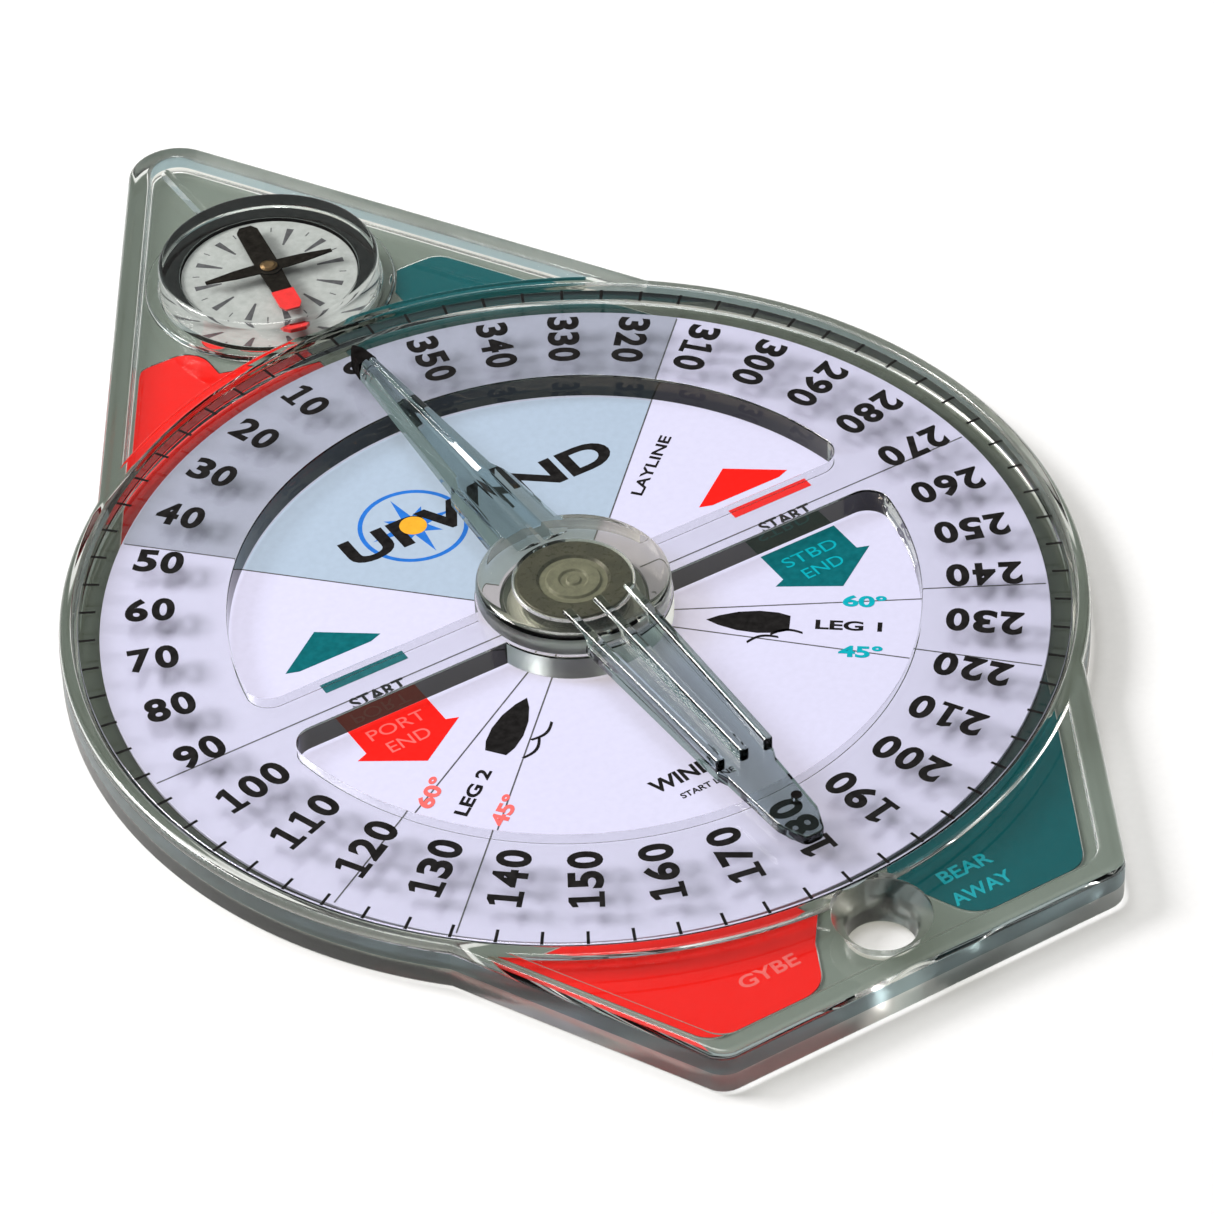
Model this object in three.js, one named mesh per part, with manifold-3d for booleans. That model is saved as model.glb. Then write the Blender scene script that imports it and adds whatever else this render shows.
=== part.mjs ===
// Handheld sailing tactical calculator: a clear moulded base with a button compass, a printed course card,
// a clear degree dial and a clear double-ended cursor arm that all turn about a common axle.
// Units are millimetres. The origin is on the axle at the underside, +Y points to the compass end, +Z is up,
// and +X is the starboard side.
import * as THREE from 'three';
import { mergeVertices } from 'three/addons/utils/BufferGeometryUtils.js';
import Module from 'manifold-3d';

const wasm = await Module();
wasm.setup();

// ---- driving dimensions ----
const BODY_R = 54.2;             // round middle of the base
const FORE_SIDE = 51.3;          // distance of the straight fore sides from the axle
const FORE_APEX_Y = 100.3;       // where the fore sides would meet
const FORE_FILLET = 5.6;
const AFT_SIDE = 51.7;           // distance of the straight aft sides from the axle
const AFT_EDGE_Y = -65.5;        // blunt aft edge
const AFT_CORNER_X = 23.6;
const AFT_FILLET = 2.8;
const RIM_W = 2.7;               // raised rim along the outline
const RIM_TOP = 5.3;
const WELL_R = 52.5;             // well that the card and dial sit in
const FLOOR = 1.2;               // well floor
const POCKET_FLOOR = 3.4;        // sunk face fore of the well
const AFT_POCKET_FLOOR = 4.8;    // shallower one aft of it
const POCKET_FILLET = 3;         // corners of the aft one
const RUN_GAP = 0.1;             // running gap between stacked discs
const CLEARANCE = 0.05;          // between pieces that sit against each other
const RIDGE_HALF = 0.8;          // moulded line on the fore pocket's floor
const RIDGE_H = 0.5;
const RIDGE_END_Y = 95;

const CARD_R = 50;
const CARD_T = 0.4;
const CARD_Z = FLOOR + RUN_GAP;
const DIAL_R = 52.2;
const DIAL_Z = 1.9;
const DIAL_TOP = 4.8;
const WINDOW_R = 36.5;           // outer arc of the half-moon windows
const WINDOW_CORNER = 2.5;
const BAR_HALF = 3.0;            // half width of the bar between the windows
const DIAL_HUB_R = 10.5;

const BOSS_R = 7.5;              // floor boss that the card turns on
const BOSS_TOP = 1.8;
const AXLE_R = 3.0;
const AXLE_GAP = 0.35;
const AXLE_FOOT = 0.4;
const HEAD_R = 6.2;
const HEAD_Z = 5.1;
const HEAD_TOP = 6.0;
const WASHER_Z = 4.84;
const WASHER_T = 0.2;
const COVER_R = 7.0;             // disc that closes the underside at the axle
const COVER_T = 0.3;
const COVER_SEAT = 0.35;
const CLIP_R = 5.6;
const CLIP_Z = 0.4;
const CLIP_T = 0.35;
const CLIP_SEAT_R = 6.0;
const CLIP_SEAT_TOP = 1.15;
const WAVE_T = 0.15;
const WAVE_RISE = 0.08;
const WAVE_Z = 0.955;
const WAVE_SIDES = 60;

const COMPASS_Y = 66.5;
const COMPASS_SEAT_R = 12.8;
const COMPASS_SEAT_Z = 1.0;
const COLLAR_R = 14.2;
const COLLAR_TOP = 3.8;
const CAPSULE_R = 12.6;
const CAPSULE_Z = 1.05;
const CAPSULE_T = 0.8;
const ROSE_R = 10.1;
const ROSE_T = 0.3;
const BEZEL_IN = 10.2;
const BEZEL_OUT = 12.4;
const BEZEL_TOP = 2.9;
const LENS_Z = 2.95;
const LENS_TOP = 7.1;
const LENS_CHAMFER = 0.4;
const LENS_CAVITY_R = 10.2;
const LENS_CAVITY_TOP = 5.4;
const NEEDLE_Z = 3.7;
const NEEDLE_T = 0.5;
const NEEDLE_TURN = -9.5;        // rest heading of the needle, degrees
const NEEDLE_NORTH = 4.6;        // where the dark half ends and the red tip starts
const NEEDLE_EYE = 1.5;          // round middle of the crossbar
const MAGNET_SHAPE = [[8.4, 0.7], [7.6, 1.25], [1.6, 1.35], [-NEEDLE_NORTH, 1.15]];
const NORTH_SHAPE = [[-NEEDLE_NORTH - 0.02, 1.3], [-7.4, 1.3], [-8.3, 0.8]];
const CROSSBAR_SHAPE = [[7.6, 0.25], [4, 0.75], [0, 0.95], [-4, 0.75], [-7.6, 0.25]];
const CROSSBAR_T = 0.3;
const PIVOT_R = 0.5;
const PIVOT_POINT_R = 0.12;
const PIVOT_SIDES = 12;

const HOLE_Y = -57.3;            // lanyard hole
const HOLE_R = 3.5;
const HOLE_CLEAR_R = 6.4;        // the labels keep clear of the hole by this radius
const HOLE_LIP = 1.6;            // width and depth of the hole's funnel

const LABEL_Z = 0.05;
const LABEL_T = 0.25;
const LABEL_SEAT = 0.35;
const LABEL_GAP = 0.1;
const LABEL_IN_R = 46.5;         // the labels reach under the card to this radius
const LABEL_SIDE = 48.7;         // distance of the fore labels' outer edges from the axle
const LABEL_AFT_SIDE = 48.0;
const LABEL_FORE_Y = 62.3;       // fore edges of the fore labels
const LABEL_FORE_FOOT = 18;      // they end under the card
const FORE_SHOULDER = [12, 56];  // inner corners beside the compass
const FORE_THROAT = [1.5, 54];
const LABEL_AFT_Y = -60.6;
const LABEL_AFT_TOP = -28;
const AFT_HEEL = 8.6;            // inner corners beside the lanyard hole
const AFT_SHOULDER = [6.3, -55];
const AFT_THROAT = [2.5, -50];
const LABEL_CORNER = 3;

const ARM_Z = 5.0;
const ARM_HUB_R = 10.3;
const ARM_HUB_TOP = 7.4;
const ARM_PLATE_TOP = 6.3;
const ARM_TOP = 7.8;
const ARM_SEAT_R = 6.5;          // recess for the axle's head
const ARM_SEAT_TOP = 6.1;
const TIP_START = 43.4;
const TIP_END = 47.0;
const DOT_X = 1.5;
const DOT_Y = -40;
const DOT_R = 0.55;
const DOT_DEPTH = 0.75;
const FORE_BAR = [[6, 4.6], [19, 3.8], [20.5, 3.0], [TIP_START, 1.2]];
const FORE_TIP = [[TIP_START + CLEARANCE, 1.2], [TIP_END - 1.2, 0.9], [TIP_END, 0.2]];
const AFT_PLATE = [[8, 4.3], [33, 3.4, 0.4], [34.2, 2.9, 0.4], [42.5, 2.4, 1.5], [45.7, 1.1, 0.9]];
const RIBS = [[2.3, 3.4], [-0.55, 0.55], [-3.4, -2.3]];
const RIB_START_Y = -4.6;
const RIB_END_Y = -33;
const RIB_SPLAY = 0.9;           // the outer ribs spread this much at the hub
const FINE = 16;                 // sides of the smallest circles

const LARGE = 80;                // sides of the large circles
const MEDIUM = 36;
const SMALL = 20;
const OVER = 1;                  // how far a cutter runs past the face it cuts
const GRID = 1e-5;               // points are snapped to this, so that faces meant to be level are

const rad = THREE.MathUtils.degToRad;

// ---- solids ----

// A closed three.js geometry as a manifold solid.
function solidOf(geometry) {
  let g = geometry.index ? geometry.toNonIndexed() : geometry;
  g = new THREE.BufferGeometry().setAttribute('position', g.getAttribute('position').clone());
  g = mergeVertices(g, 1e-4);
  const index = g.index.array;
  const tris = [];
  for (let i = 0; i < index.length; i += 3) {
    const [a, b, c] = [index[i], index[i + 1], index[i + 2]];
    if (a !== b && b !== c && c !== a) tris.push(a, b, c);
  }
  const snapped = g.getAttribute('position').array.map((v) => Math.round(v / GRID) * GRID);
  const vertProperties = new Float32Array(snapped);
  if (signedVolume(vertProperties, tris) < 0) {
    for (let i = 0; i < tris.length; i += 3) [tris[i], tris[i + 1]] = [tris[i + 1], tris[i]];
  }
  return new wasm.Manifold(new wasm.Mesh({ numProp: 3, vertProperties, triVerts: new Uint32Array(tris) }));
}

function signedVolume(points, tris) {
  const corner = (k) => new THREE.Vector3(points[3 * k], points[3 * k + 1], points[3 * k + 2]);
  let sum = 0;
  for (let i = 0; i < tris.length; i += 3) {
    sum += corner(tris[i]).dot(corner(tris[i + 1]).cross(corner(tris[i + 2])));
  }
  return sum / 6;
}

// A solid of revolution about the vertical line through (0, y); the profile is [radius, height] pairs.
function turned(profile, sides, y = 0) {
  const points = profile.map(([r, z]) => new THREE.Vector2(r, z));
  return solidOf(new THREE.LatheGeometry(points, sides).rotateX(Math.PI / 2).translate(0, y, 0));
}

function disc(r, z0, z1, sides, y = 0) {
  return turned([[0, z0], [r, z0], [r, z1], [0, z1]], sides, y);
}

function ring(rIn, rOut, z0, z1, sides, y = 0) {
  return turned([[rIn, z0], [rOut, z0], [rOut, z1], [rIn, z1], [rIn, z0]], sides, y);
}

function extruded(shape, z0, z1, curveSegments = 6) {
  const g = new THREE.ExtrudeGeometry(shape, { depth: z1 - z0, bevelEnabled: false, curveSegments });
  return solidOf(g.translate(0, 0, z0));
}

// An upright bar whose top edges are sloped off by `slope` sideways and `drop` down.
function roofed(shape, z0, z1, slope, drop) {
  const options = {
    depth: z1 - z0 - drop + OVER, curveSegments: 4, bevelEnabled: true, bevelSegments: 1,
    bevelThickness: drop, bevelSize: slope, bevelOffset: -slope,
  };
  const bar = solidOf(new THREE.ExtrudeGeometry(shape, options).translate(0, 0, z0 - OVER));
  return bar.subtract(disc(2 * BODY_R, z0 - 3 * OVER, z0, SMALL));
}

// ---- outlines ----

// A closed polygon whose corners are rounded; each point is [x, y, radius].
function rounded(points) {
  const shape = new THREE.Shape();
  const at = (i) => points[(i + points.length) % points.length];
  points.forEach(([x, y, r = 0], i) => {
    const corner = new THREE.Vector2(x, y);
    const before = new THREE.Vector2(...at(i - 1).slice(0, 2)).sub(corner).normalize();
    const after = new THREE.Vector2(...at(i + 1).slice(0, 2)).sub(corner).normalize();
    const half = Math.acos(before.dot(after)) / 2;
    const run = r / Math.tan(half);
    const start = corner.clone().addScaledVector(before, run);
    if (i === 0) shape.moveTo(start.x, start.y);
    else shape.lineTo(start.x, start.y);
    if (r === 0) return;
    const middle = before.clone().add(after).normalize();
    const centre = corner.clone().addScaledVector(middle, r / Math.sin(half));
    const end = corner.clone().addScaledVector(after, run);
    const a0 = Math.atan2(start.y - centre.y, start.x - centre.x);
    const a1 = Math.atan2(end.y - centre.y, end.x - centre.x);
    const left = before.x * after.y - before.y * after.x > 0;
    shape.absarc(centre.x, centre.y, r, a0, a1, left);
  });
  return shape;
}

// Unit normal of the starboard side: fore side (leaning in towards the apex) and aft side.
const foreNormal = new THREE.Vector2(Math.sqrt(1 - (FORE_SIDE / FORE_APEX_Y) ** 2), FORE_SIDE / FORE_APEX_Y);
const aftReach = Math.hypot(AFT_CORNER_X, AFT_EDGE_Y);
const aftAngle = Math.asin(AFT_SIDE / aftReach) - Math.atan2(AFT_CORNER_X, -AFT_EDGE_Y);
const aftNormal = new THREE.Vector2(Math.cos(aftAngle), -Math.sin(aftAngle));

// x of a side line at height y, with the line at the given distance from the axle.
function sideX(normal, distance, y) {
  return (distance - normal.y * y) / normal.x;
}

// The base's outline, drawn in by `inset`: a triangle fore and a trapezium aft, joined to the round middle.
function foreEnd(inset) {
  const side = FORE_SIDE - inset;
  const fillet = FORE_FILLET - Math.min(inset, FORE_FILLET - 1);
  const [x, y] = [side * foreNormal.x, side * foreNormal.y];
  return rounded([[x, y], [0, side / foreNormal.y, fillet], [-x, y]]);
}

function aftEnd(inset) {
  const side = AFT_SIDE - inset;
  const edgeY = AFT_EDGE_Y + inset;
  const cornerX = sideX(aftNormal, side, edgeY);
  const fillet = inset < RIM_W ? AFT_FILLET : POCKET_FILLET;
  const [x, y] = [side * aftNormal.x, side * aftNormal.y];
  return rounded([[-x, y], [-cornerX, edgeY, fillet], [cornerX, edgeY, fillet], [x, y]]);
}

function bodySolid(inset, z0, z1) {
  return disc(BODY_R - inset, z0, z1, LARGE)
    .add(extruded(foreEnd(inset), z0, z1))
    .add(extruded(aftEnd(inset), z0, z1));
}

// Fore label on one side (+1 starboard, -1 port), grown by `grow` on every edge.
function foreLabelSolid(side, grow, z0, z1) {
  const d = LABEL_SIDE + grow;
  const top = LABEL_FORE_Y + grow;
  const [shoulderX, shoulderY] = FORE_SHOULDER;
  const [throatX, throatY] = FORE_THROAT;
  const shape = rounded([
    [side * sideX(foreNormal, d, LABEL_FORE_FOOT), LABEL_FORE_FOOT],
    [side * sideX(foreNormal, d, top), top, LABEL_CORNER],
    [side * (shoulderX - grow), top, LABEL_CORNER],
    [side * (shoulderX - grow), shoulderY],
    [side * (throatX - grow), throatY],
    [side * (throatX - grow), LABEL_FORE_FOOT],
  ]);
  return extruded(shape, z0, z1)
    .subtract(disc(LABEL_IN_R - grow, z0 - OVER, z1 + OVER, LARGE))
    .subtract(disc(COLLAR_R + 0.4 - grow, z0 - OVER, z1 + OVER, MEDIUM, COMPASS_Y));
}

function aftLabelSolid(side, grow, z0, z1) {
  const d = LABEL_AFT_SIDE + grow;
  const y = LABEL_AFT_Y - grow;
  const [shoulderX, shoulderY] = AFT_SHOULDER;
  const [throatX, throatY] = AFT_THROAT;
  const shape = rounded([
    [side * sideX(aftNormal, d, LABEL_AFT_TOP), LABEL_AFT_TOP],
    [side * sideX(aftNormal, d, y), y, LABEL_CORNER],
    [side * (AFT_HEEL - grow), y, LABEL_CORNER],
    [side * (shoulderX - grow), shoulderY],
    [side * (throatX - grow), throatY],
    [side * (throatX - grow), LABEL_AFT_TOP],
  ]);
  return extruded(shape, z0, z1)
    .subtract(disc(LABEL_IN_R - grow, z0 - OVER, z1 + OVER, LARGE))
    .subtract(disc(HOLE_CLEAR_R - grow, z0 - OVER, z1 + OVER, SMALL, HOLE_Y));
}

// One half-moon window of the dial; `side` is +1 for the fore window and -1 for the aft one.
function windowShape(side) {
  const shape = new THREE.Shape();
  const cornerY = BAR_HALF + WINDOW_CORNER;
  const cornerR = WINDOW_R - WINDOW_CORNER;
  const cornerX = Math.sqrt(cornerR ** 2 - cornerY ** 2);
  const hubX = Math.sqrt(DIAL_HUB_R ** 2 - BAR_HALF ** 2);
  const arcAngle = Math.atan2(cornerY, cornerX);
  const hubAngle = Math.atan2(BAR_HALF, hubX);
  const arc = (x, y, r, a0, a1, clockwise) => {
    if (side > 0) shape.absarc(x, y, r, a0, a1, clockwise);
    else shape.absarc(x, -y, r, -a0, -a1, !clockwise);
  };
  shape.moveTo(cornerX, side * BAR_HALF);
  arc(cornerX, cornerY, WINDOW_CORNER, -Math.PI / 2, arcAngle, false);
  arc(0, 0, WINDOW_R, arcAngle, Math.PI - arcAngle, false);
  arc(-cornerX, cornerY, WINDOW_CORNER, Math.PI - arcAngle, 1.5 * Math.PI, false);
  shape.lineTo(-hubX, side * BAR_HALF);
  arc(0, 0, DIAL_HUB_R, Math.PI - hubAngle, hubAngle, true);
  return shape;
}

// ---- base and what is fixed to it ----

function baseTray() {
  let tray = bodySolid(0, 0, RIM_TOP);
  const pockets = bodySolid(RIM_W, POCKET_FLOOR, RIM_TOP + OVER)
    .subtract(disc(BODY_R, POCKET_FLOOR - OVER, RIM_TOP + 2 * OVER, LARGE))
    .subtract(disc(COLLAR_R, POCKET_FLOOR - OVER, COLLAR_TOP, MEDIUM, COMPASS_Y))
    .subtract(extruded(aftEnd(0), POCKET_FLOOR - OVER, AFT_POCKET_FLOOR))
    .subtract(centreRidge());
  tray = tray.subtract(pockets);
  tray = tray.subtract(disc(WELL_R, FLOOR, RIM_TOP + OVER, LARGE));
  tray = tray.add(disc(BOSS_R, FLOOR / 2, BOSS_TOP, MEDIUM));
  tray = tray.subtract(disc(COMPASS_SEAT_R, COMPASS_SEAT_Z, RIM_TOP + OVER, MEDIUM, COMPASS_Y));
  tray = tray.subtract(turned([
    [0, -OVER], [HOLE_R, -OVER], [HOLE_R, AFT_POCKET_FLOOR - HOLE_LIP],
    [HOLE_R + HOLE_LIP, AFT_POCKET_FLOOR], [HOLE_R + HOLE_LIP, RIM_TOP + OVER], [0, RIM_TOP + OVER],
  ], SMALL, HOLE_Y));
  tray = tray.subtract(disc(AXLE_R + AXLE_GAP, -OVER, BOSS_TOP + OVER, SMALL));
  tray = tray.subtract(disc(CLIP_SEAT_R, -OVER, CLIP_SEAT_TOP, MEDIUM));
  tray = tray.subtract(disc(COVER_R + 0.1, -OVER, COVER_SEAT, MEDIUM));
  for (const side of [1, -1]) {
    tray = tray.subtract(foreLabelSolid(side, LABEL_GAP, -OVER, LABEL_SEAT));
    tray = tray.subtract(aftLabelSolid(side, LABEL_GAP, -OVER, LABEL_SEAT));
  }
  return tray;
}

// Moulded line on the fore pocket's floor, from the point to the compass.
function centreRidge() {
  const from = COMPASS_Y + COLLAR_R - RIDGE_HALF;
  const shape = rounded([
    [RIDGE_HALF, from], [RIDGE_HALF, RIDGE_END_Y], [-RIDGE_HALF, RIDGE_END_Y], [-RIDGE_HALF, from],
  ]);
  return roofed(shape, POCKET_FLOOR - OVER, POCKET_FLOOR + RIDGE_H, RIDGE_HALF / 2, RIDGE_H);
}

function compassCapsule() {
  return disc(CAPSULE_R, CAPSULE_Z, CAPSULE_Z + CAPSULE_T, MEDIUM, COMPASS_Y);
}

function compassRose() {
  return ring(0.6, ROSE_R, CAPSULE_Z + CAPSULE_T, CAPSULE_Z + CAPSULE_T + ROSE_T, MEDIUM, COMPASS_Y);
}

function compassBezel() {
  return ring(BEZEL_IN, BEZEL_OUT, CAPSULE_Z + CAPSULE_T, BEZEL_TOP, MEDIUM, COMPASS_Y);
}

function compassLens() {
  return turned([
    [LENS_CAVITY_R, LENS_Z], [CAPSULE_R, LENS_Z], [CAPSULE_R, LENS_TOP - LENS_CHAMFER],
    [CAPSULE_R - LENS_CHAMFER, LENS_TOP], [0, LENS_TOP], [0, LENS_CAVITY_TOP],
    [LENS_CAVITY_R, LENS_CAVITY_TOP], [LENS_CAVITY_R, LENS_Z],
  ], MEDIUM, COMPASS_Y);
}

function compassPivot() {
  const foot = CAPSULE_Z + CAPSULE_T;
  const point = NEEDLE_Z - 2 * CLEARANCE;
  return turned([
    [0, foot], [PIVOT_R, foot], [PIVOT_R, foot + 0.6], [PIVOT_POINT_R, point], [0, point],
  ], PIVOT_SIDES, COMPASS_Y);
}

// ---- needle ----

// A flat blade symmetric about its length: [distance from the pivot, half width] pairs from tip to tail.
function blade(stations, z0, z1) {
  const right = stations.map(([y, half]) => [half, y]);
  const left = stations.map(([y, half]) => [-half, y]).reverse();
  return extruded(rounded([...right, ...left]), z0, z1);
}

const needleTop = NEEDLE_Z + NEEDLE_T;

function needleMagnet() {
  return blade(MAGNET_SHAPE, NEEDLE_Z, needleTop)
    .subtract(disc(PIVOT_R, NEEDLE_Z - OVER, needleTop + OVER, FINE));
}

function northTip() {
  return blade(NORTH_SHAPE, NEEDLE_Z, needleTop);
}

function needleCrossbar() {
  const [z0, z1] = [needleTop + 0.02, needleTop + 0.02 + CROSSBAR_T];
  return blade(CROSSBAR_SHAPE, z0, z1)
    .rotate([0, 0, 90])
    .add(disc(NEEDLE_EYE, z0, z1, SMALL))
    .subtract(disc(PIVOT_R, NEEDLE_Z, needleTop + OVER, FINE));
}

function needleCap() {
  const foot = needleTop + 0.34;
  return turned([[0, foot], [1.0, foot], [1.0, foot + 0.25], [0.6, foot + 0.5], [0, foot + 0.5]], SMALL);
}

// ---- card and dial ----

function courseCard() {
  return ring(BOSS_R + 0.35, CARD_R, CARD_Z, CARD_Z + CARD_T, LARGE);
}

function degreeDial() {
  const shape = new THREE.Shape().absarc(0, 0, DIAL_R, 0, 2 * Math.PI);
  shape.holes.push(new THREE.Path().absarc(0, 0, AXLE_R + AXLE_GAP, 0, 2 * Math.PI));
  let dial = extruded(shape, DIAL_Z, DIAL_TOP, LARGE / 2);
  for (const side of [1, -1]) {
    dial = dial.subtract(extruded(windowShape(side), DIAL_Z - OVER, DIAL_TOP + OVER, 16));
  }
  return dial;
}

function frictionWasher() {
  return ring(AXLE_R + AXLE_GAP, HEAD_R - 0.2, WASHER_Z, WASHER_Z + WASHER_T, MEDIUM);
}

// ---- cursor ----

// A straight stretch of arm: [distance from the axle, half width] pairs, towards +Y or -Y.
function armOutline(stations, side) {
  const right = stations.map(([y, half, r = 0]) => [half, side * y, r]);
  const left = stations.map(([y, half, r = 0]) => [-half, side * y, r]).reverse();
  return rounded([...right, ...left]);
}

function cursorArm() {
  const hub = turned([[0, ARM_Z], [ARM_HUB_R, ARM_Z], [ARM_HUB_R, ARM_HUB_TOP - 0.9],
    [ARM_HUB_R - 0.9, ARM_HUB_TOP], [0, ARM_HUB_TOP]], MEDIUM);
  const foreBar = roofed(armOutline(FORE_BAR, 1), ARM_Z, ARM_TOP, 1.0, 1.3);
  const aftPlate = extruded(armOutline(AFT_PLATE, -1), ARM_Z, ARM_PLATE_TOP);
  let arm = hub.add(foreBar).add(aftPlate);
  for (const [inner, outer] of RIBS) {
    const splay = RIB_SPLAY * Math.sign(inner + outer);
    const rib = rounded([
      [inner + splay, RIB_START_Y], [outer + splay, RIB_START_Y], [outer, RIB_END_Y], [inner, RIB_END_Y],
    ]);
    arm = arm.add(extruded(rib, ARM_PLATE_TOP - 0.5, ARM_TOP));
  }
  arm = arm.subtract(disc(ARM_SEAT_R, ARM_Z - OVER, ARM_SEAT_TOP, MEDIUM));
  const pit = disc(DOT_R + CLEARANCE, ARM_PLATE_TOP - DOT_DEPTH - CLEARANCE, ARM_PLATE_TOP + OVER, FINE);
  return arm.subtract(pit.translate([DOT_X, DOT_Y, 0]));
}

function pointerTip() {
  return roofed(armOutline(FORE_TIP, 1), ARM_Z, ARM_TOP - 0.6, 0.15, 0.5);
}

function indexDot() {
  return disc(DOT_R, ARM_PLATE_TOP - DOT_DEPTH, ARM_PLATE_TOP, FINE).translate([DOT_X, DOT_Y, 0]);
}

function axlePin() {
  return turned([
    [0, AXLE_FOOT], [AXLE_R, AXLE_FOOT], [AXLE_R, HEAD_Z], [HEAD_R, HEAD_Z], [HEAD_R, HEAD_TOP - 0.3],
    [HEAD_R - 0.3, HEAD_TOP], [3.6, HEAD_TOP], [3.4, HEAD_TOP - 0.25], [2.9, HEAD_TOP - 0.25],
    [2.7, HEAD_TOP], [1.3, HEAD_TOP], [1.1, HEAD_TOP - 0.25], [0, HEAD_TOP - 0.25],
  ], MEDIUM);
}

function retainingClip() {
  return ring(AXLE_R + 0.02, CLIP_R, CLIP_Z, CLIP_Z + CLIP_T, MEDIUM);
}

// A thin spring washer with three waves.
function waveWasher() {
  const [rIn, rOut, half] = [AXLE_R + 0.3, CLIP_R - 0.2, WAVE_T / 2];
  const profile = [[rIn, -half], [rOut, -half], [rOut, half], [rIn, half], [rIn, -half]];
  const points = profile.map(([r, z]) => new THREE.Vector2(r, z));
  const g = new THREE.LatheGeometry(points, WAVE_SIDES).rotateX(Math.PI / 2);
  const position = g.getAttribute('position');
  for (let i = 0; i < position.count; i++) {
    const angle = Math.atan2(position.getY(i), position.getX(i));
    position.setZ(i, position.getZ(i) + WAVE_Z + WAVE_RISE * Math.cos(3 * angle));
  }
  return solidOf(g);
}

// ---- materials and assembly ----

const CLEAR = [0xa9b5a8, 0.12, 0];
const RED = [0xff2a1c, 0.4, 0];
const TEAL = [0x04706f, 0.4, 0];
const BLACK = [0x15130f, 0.4, 0];
const WHITE = [0xe3dff2, 0.5, 0];
const STEEL = [0xb8b8b4, 0.35, 0.9];

const group = new THREE.Group();
const compass = new THREE.Group();
compass.position.y = COMPASS_Y;
compass.rotation.z = rad(NEEDLE_TURN);
group.add(compass);

function addPart(name, solid, [color, roughness, metalness], parent = group) {
  const mesh = solid.getMesh();
  const points = [];
  for (let i = 0; i < mesh.numVert; i++) {
    const first = i * mesh.numProp;
    points.push(...mesh.vertProperties.slice(first, first + 3));
  }
  const geometry = new THREE.BufferGeometry();
  geometry.setAttribute('position', new THREE.Float32BufferAttribute(points, 3));
  geometry.setIndex([...mesh.triVerts]);
  geometry.computeVertexNormals();
  const part = new THREE.Mesh(geometry, new THREE.MeshStandardMaterial({ color, roughness, metalness }));
  part.name = name;
  parent.add(part);
}

addPart('base_tray', baseTray(), CLEAR);
addPart('label_starboard_fore', foreLabelSolid(1, 0, LABEL_Z, LABEL_Z + LABEL_T), TEAL);
addPart('label_port_fore', foreLabelSolid(-1, 0, LABEL_Z, LABEL_Z + LABEL_T), RED);
addPart('label_starboard_aft', aftLabelSolid(1, 0, LABEL_Z, LABEL_Z + LABEL_T), TEAL);
addPart('label_port_aft', aftLabelSolid(-1, 0, LABEL_Z, LABEL_Z + LABEL_T), RED);
addPart('axle_cover', disc(COVER_R, 0, COVER_T, MEDIUM), WHITE);
addPart('compass_capsule', compassCapsule(), BLACK);
addPart('compass_rose', compassRose(), WHITE);
addPart('compass_bezel', compassBezel(), BLACK);
addPart('compass_lens', compassLens(), CLEAR);
addPart('compass_pivot', compassPivot(), STEEL);
addPart('course_card', courseCard(), WHITE);
addPart('degree_dial', degreeDial(), CLEAR);
addPart('friction_washer', frictionWasher(), [0x8a877c, 0.6, 0]);
addPart('cursor_arm', cursorArm(), CLEAR);
addPart('pointer_tip', pointerTip(), BLACK);
addPart('index_dot', indexDot(), BLACK);
addPart('axle_pin', axlePin(), [0x77725f, 0.4, 0]);
addPart('retaining_clip', retainingClip(), STEEL);
addPart('wave_washer', waveWasher(), STEEL);
addPart('needle_magnet', needleMagnet(), BLACK, compass);
addPart('north_tip', northTip(), RED, compass);
addPart('needle_crossbar', needleCrossbar(), BLACK, compass);
addPart('needle_cap', needleCap(), [0x6d5a35, 0.35, 0.6], compass);

export default group;
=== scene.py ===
"""Looks of a handheld sailing tactical calculator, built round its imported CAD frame.

Lengths are in millimetres in this script, in the frame's own axes: the origin is on the axle at the
underside, +Y points to the compass end, +X is the starboard side and +Z is up. Meshes are scaled to
metres when made.
"""

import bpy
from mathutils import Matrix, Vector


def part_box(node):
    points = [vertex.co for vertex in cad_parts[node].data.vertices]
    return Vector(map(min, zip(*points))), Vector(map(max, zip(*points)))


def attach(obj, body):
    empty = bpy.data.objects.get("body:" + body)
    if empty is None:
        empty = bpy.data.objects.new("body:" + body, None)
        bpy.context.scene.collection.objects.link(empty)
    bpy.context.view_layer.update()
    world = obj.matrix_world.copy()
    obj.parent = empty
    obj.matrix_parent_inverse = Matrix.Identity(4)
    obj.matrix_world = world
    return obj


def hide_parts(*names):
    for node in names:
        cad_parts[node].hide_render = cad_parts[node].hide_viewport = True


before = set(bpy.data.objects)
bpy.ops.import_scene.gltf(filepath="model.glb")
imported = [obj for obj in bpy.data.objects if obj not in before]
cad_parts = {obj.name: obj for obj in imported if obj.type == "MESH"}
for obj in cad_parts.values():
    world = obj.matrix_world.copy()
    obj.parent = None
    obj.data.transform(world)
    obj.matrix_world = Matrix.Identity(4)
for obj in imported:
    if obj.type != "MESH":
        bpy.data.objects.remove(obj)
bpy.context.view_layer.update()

import math

import bmesh
import bpy
from mathutils import Matrix, Vector

MM = 0.001


def box_mm(node):
    """Lowest and highest corner of a CAD node, in millimetres."""
    return [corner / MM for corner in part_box(node)]


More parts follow.
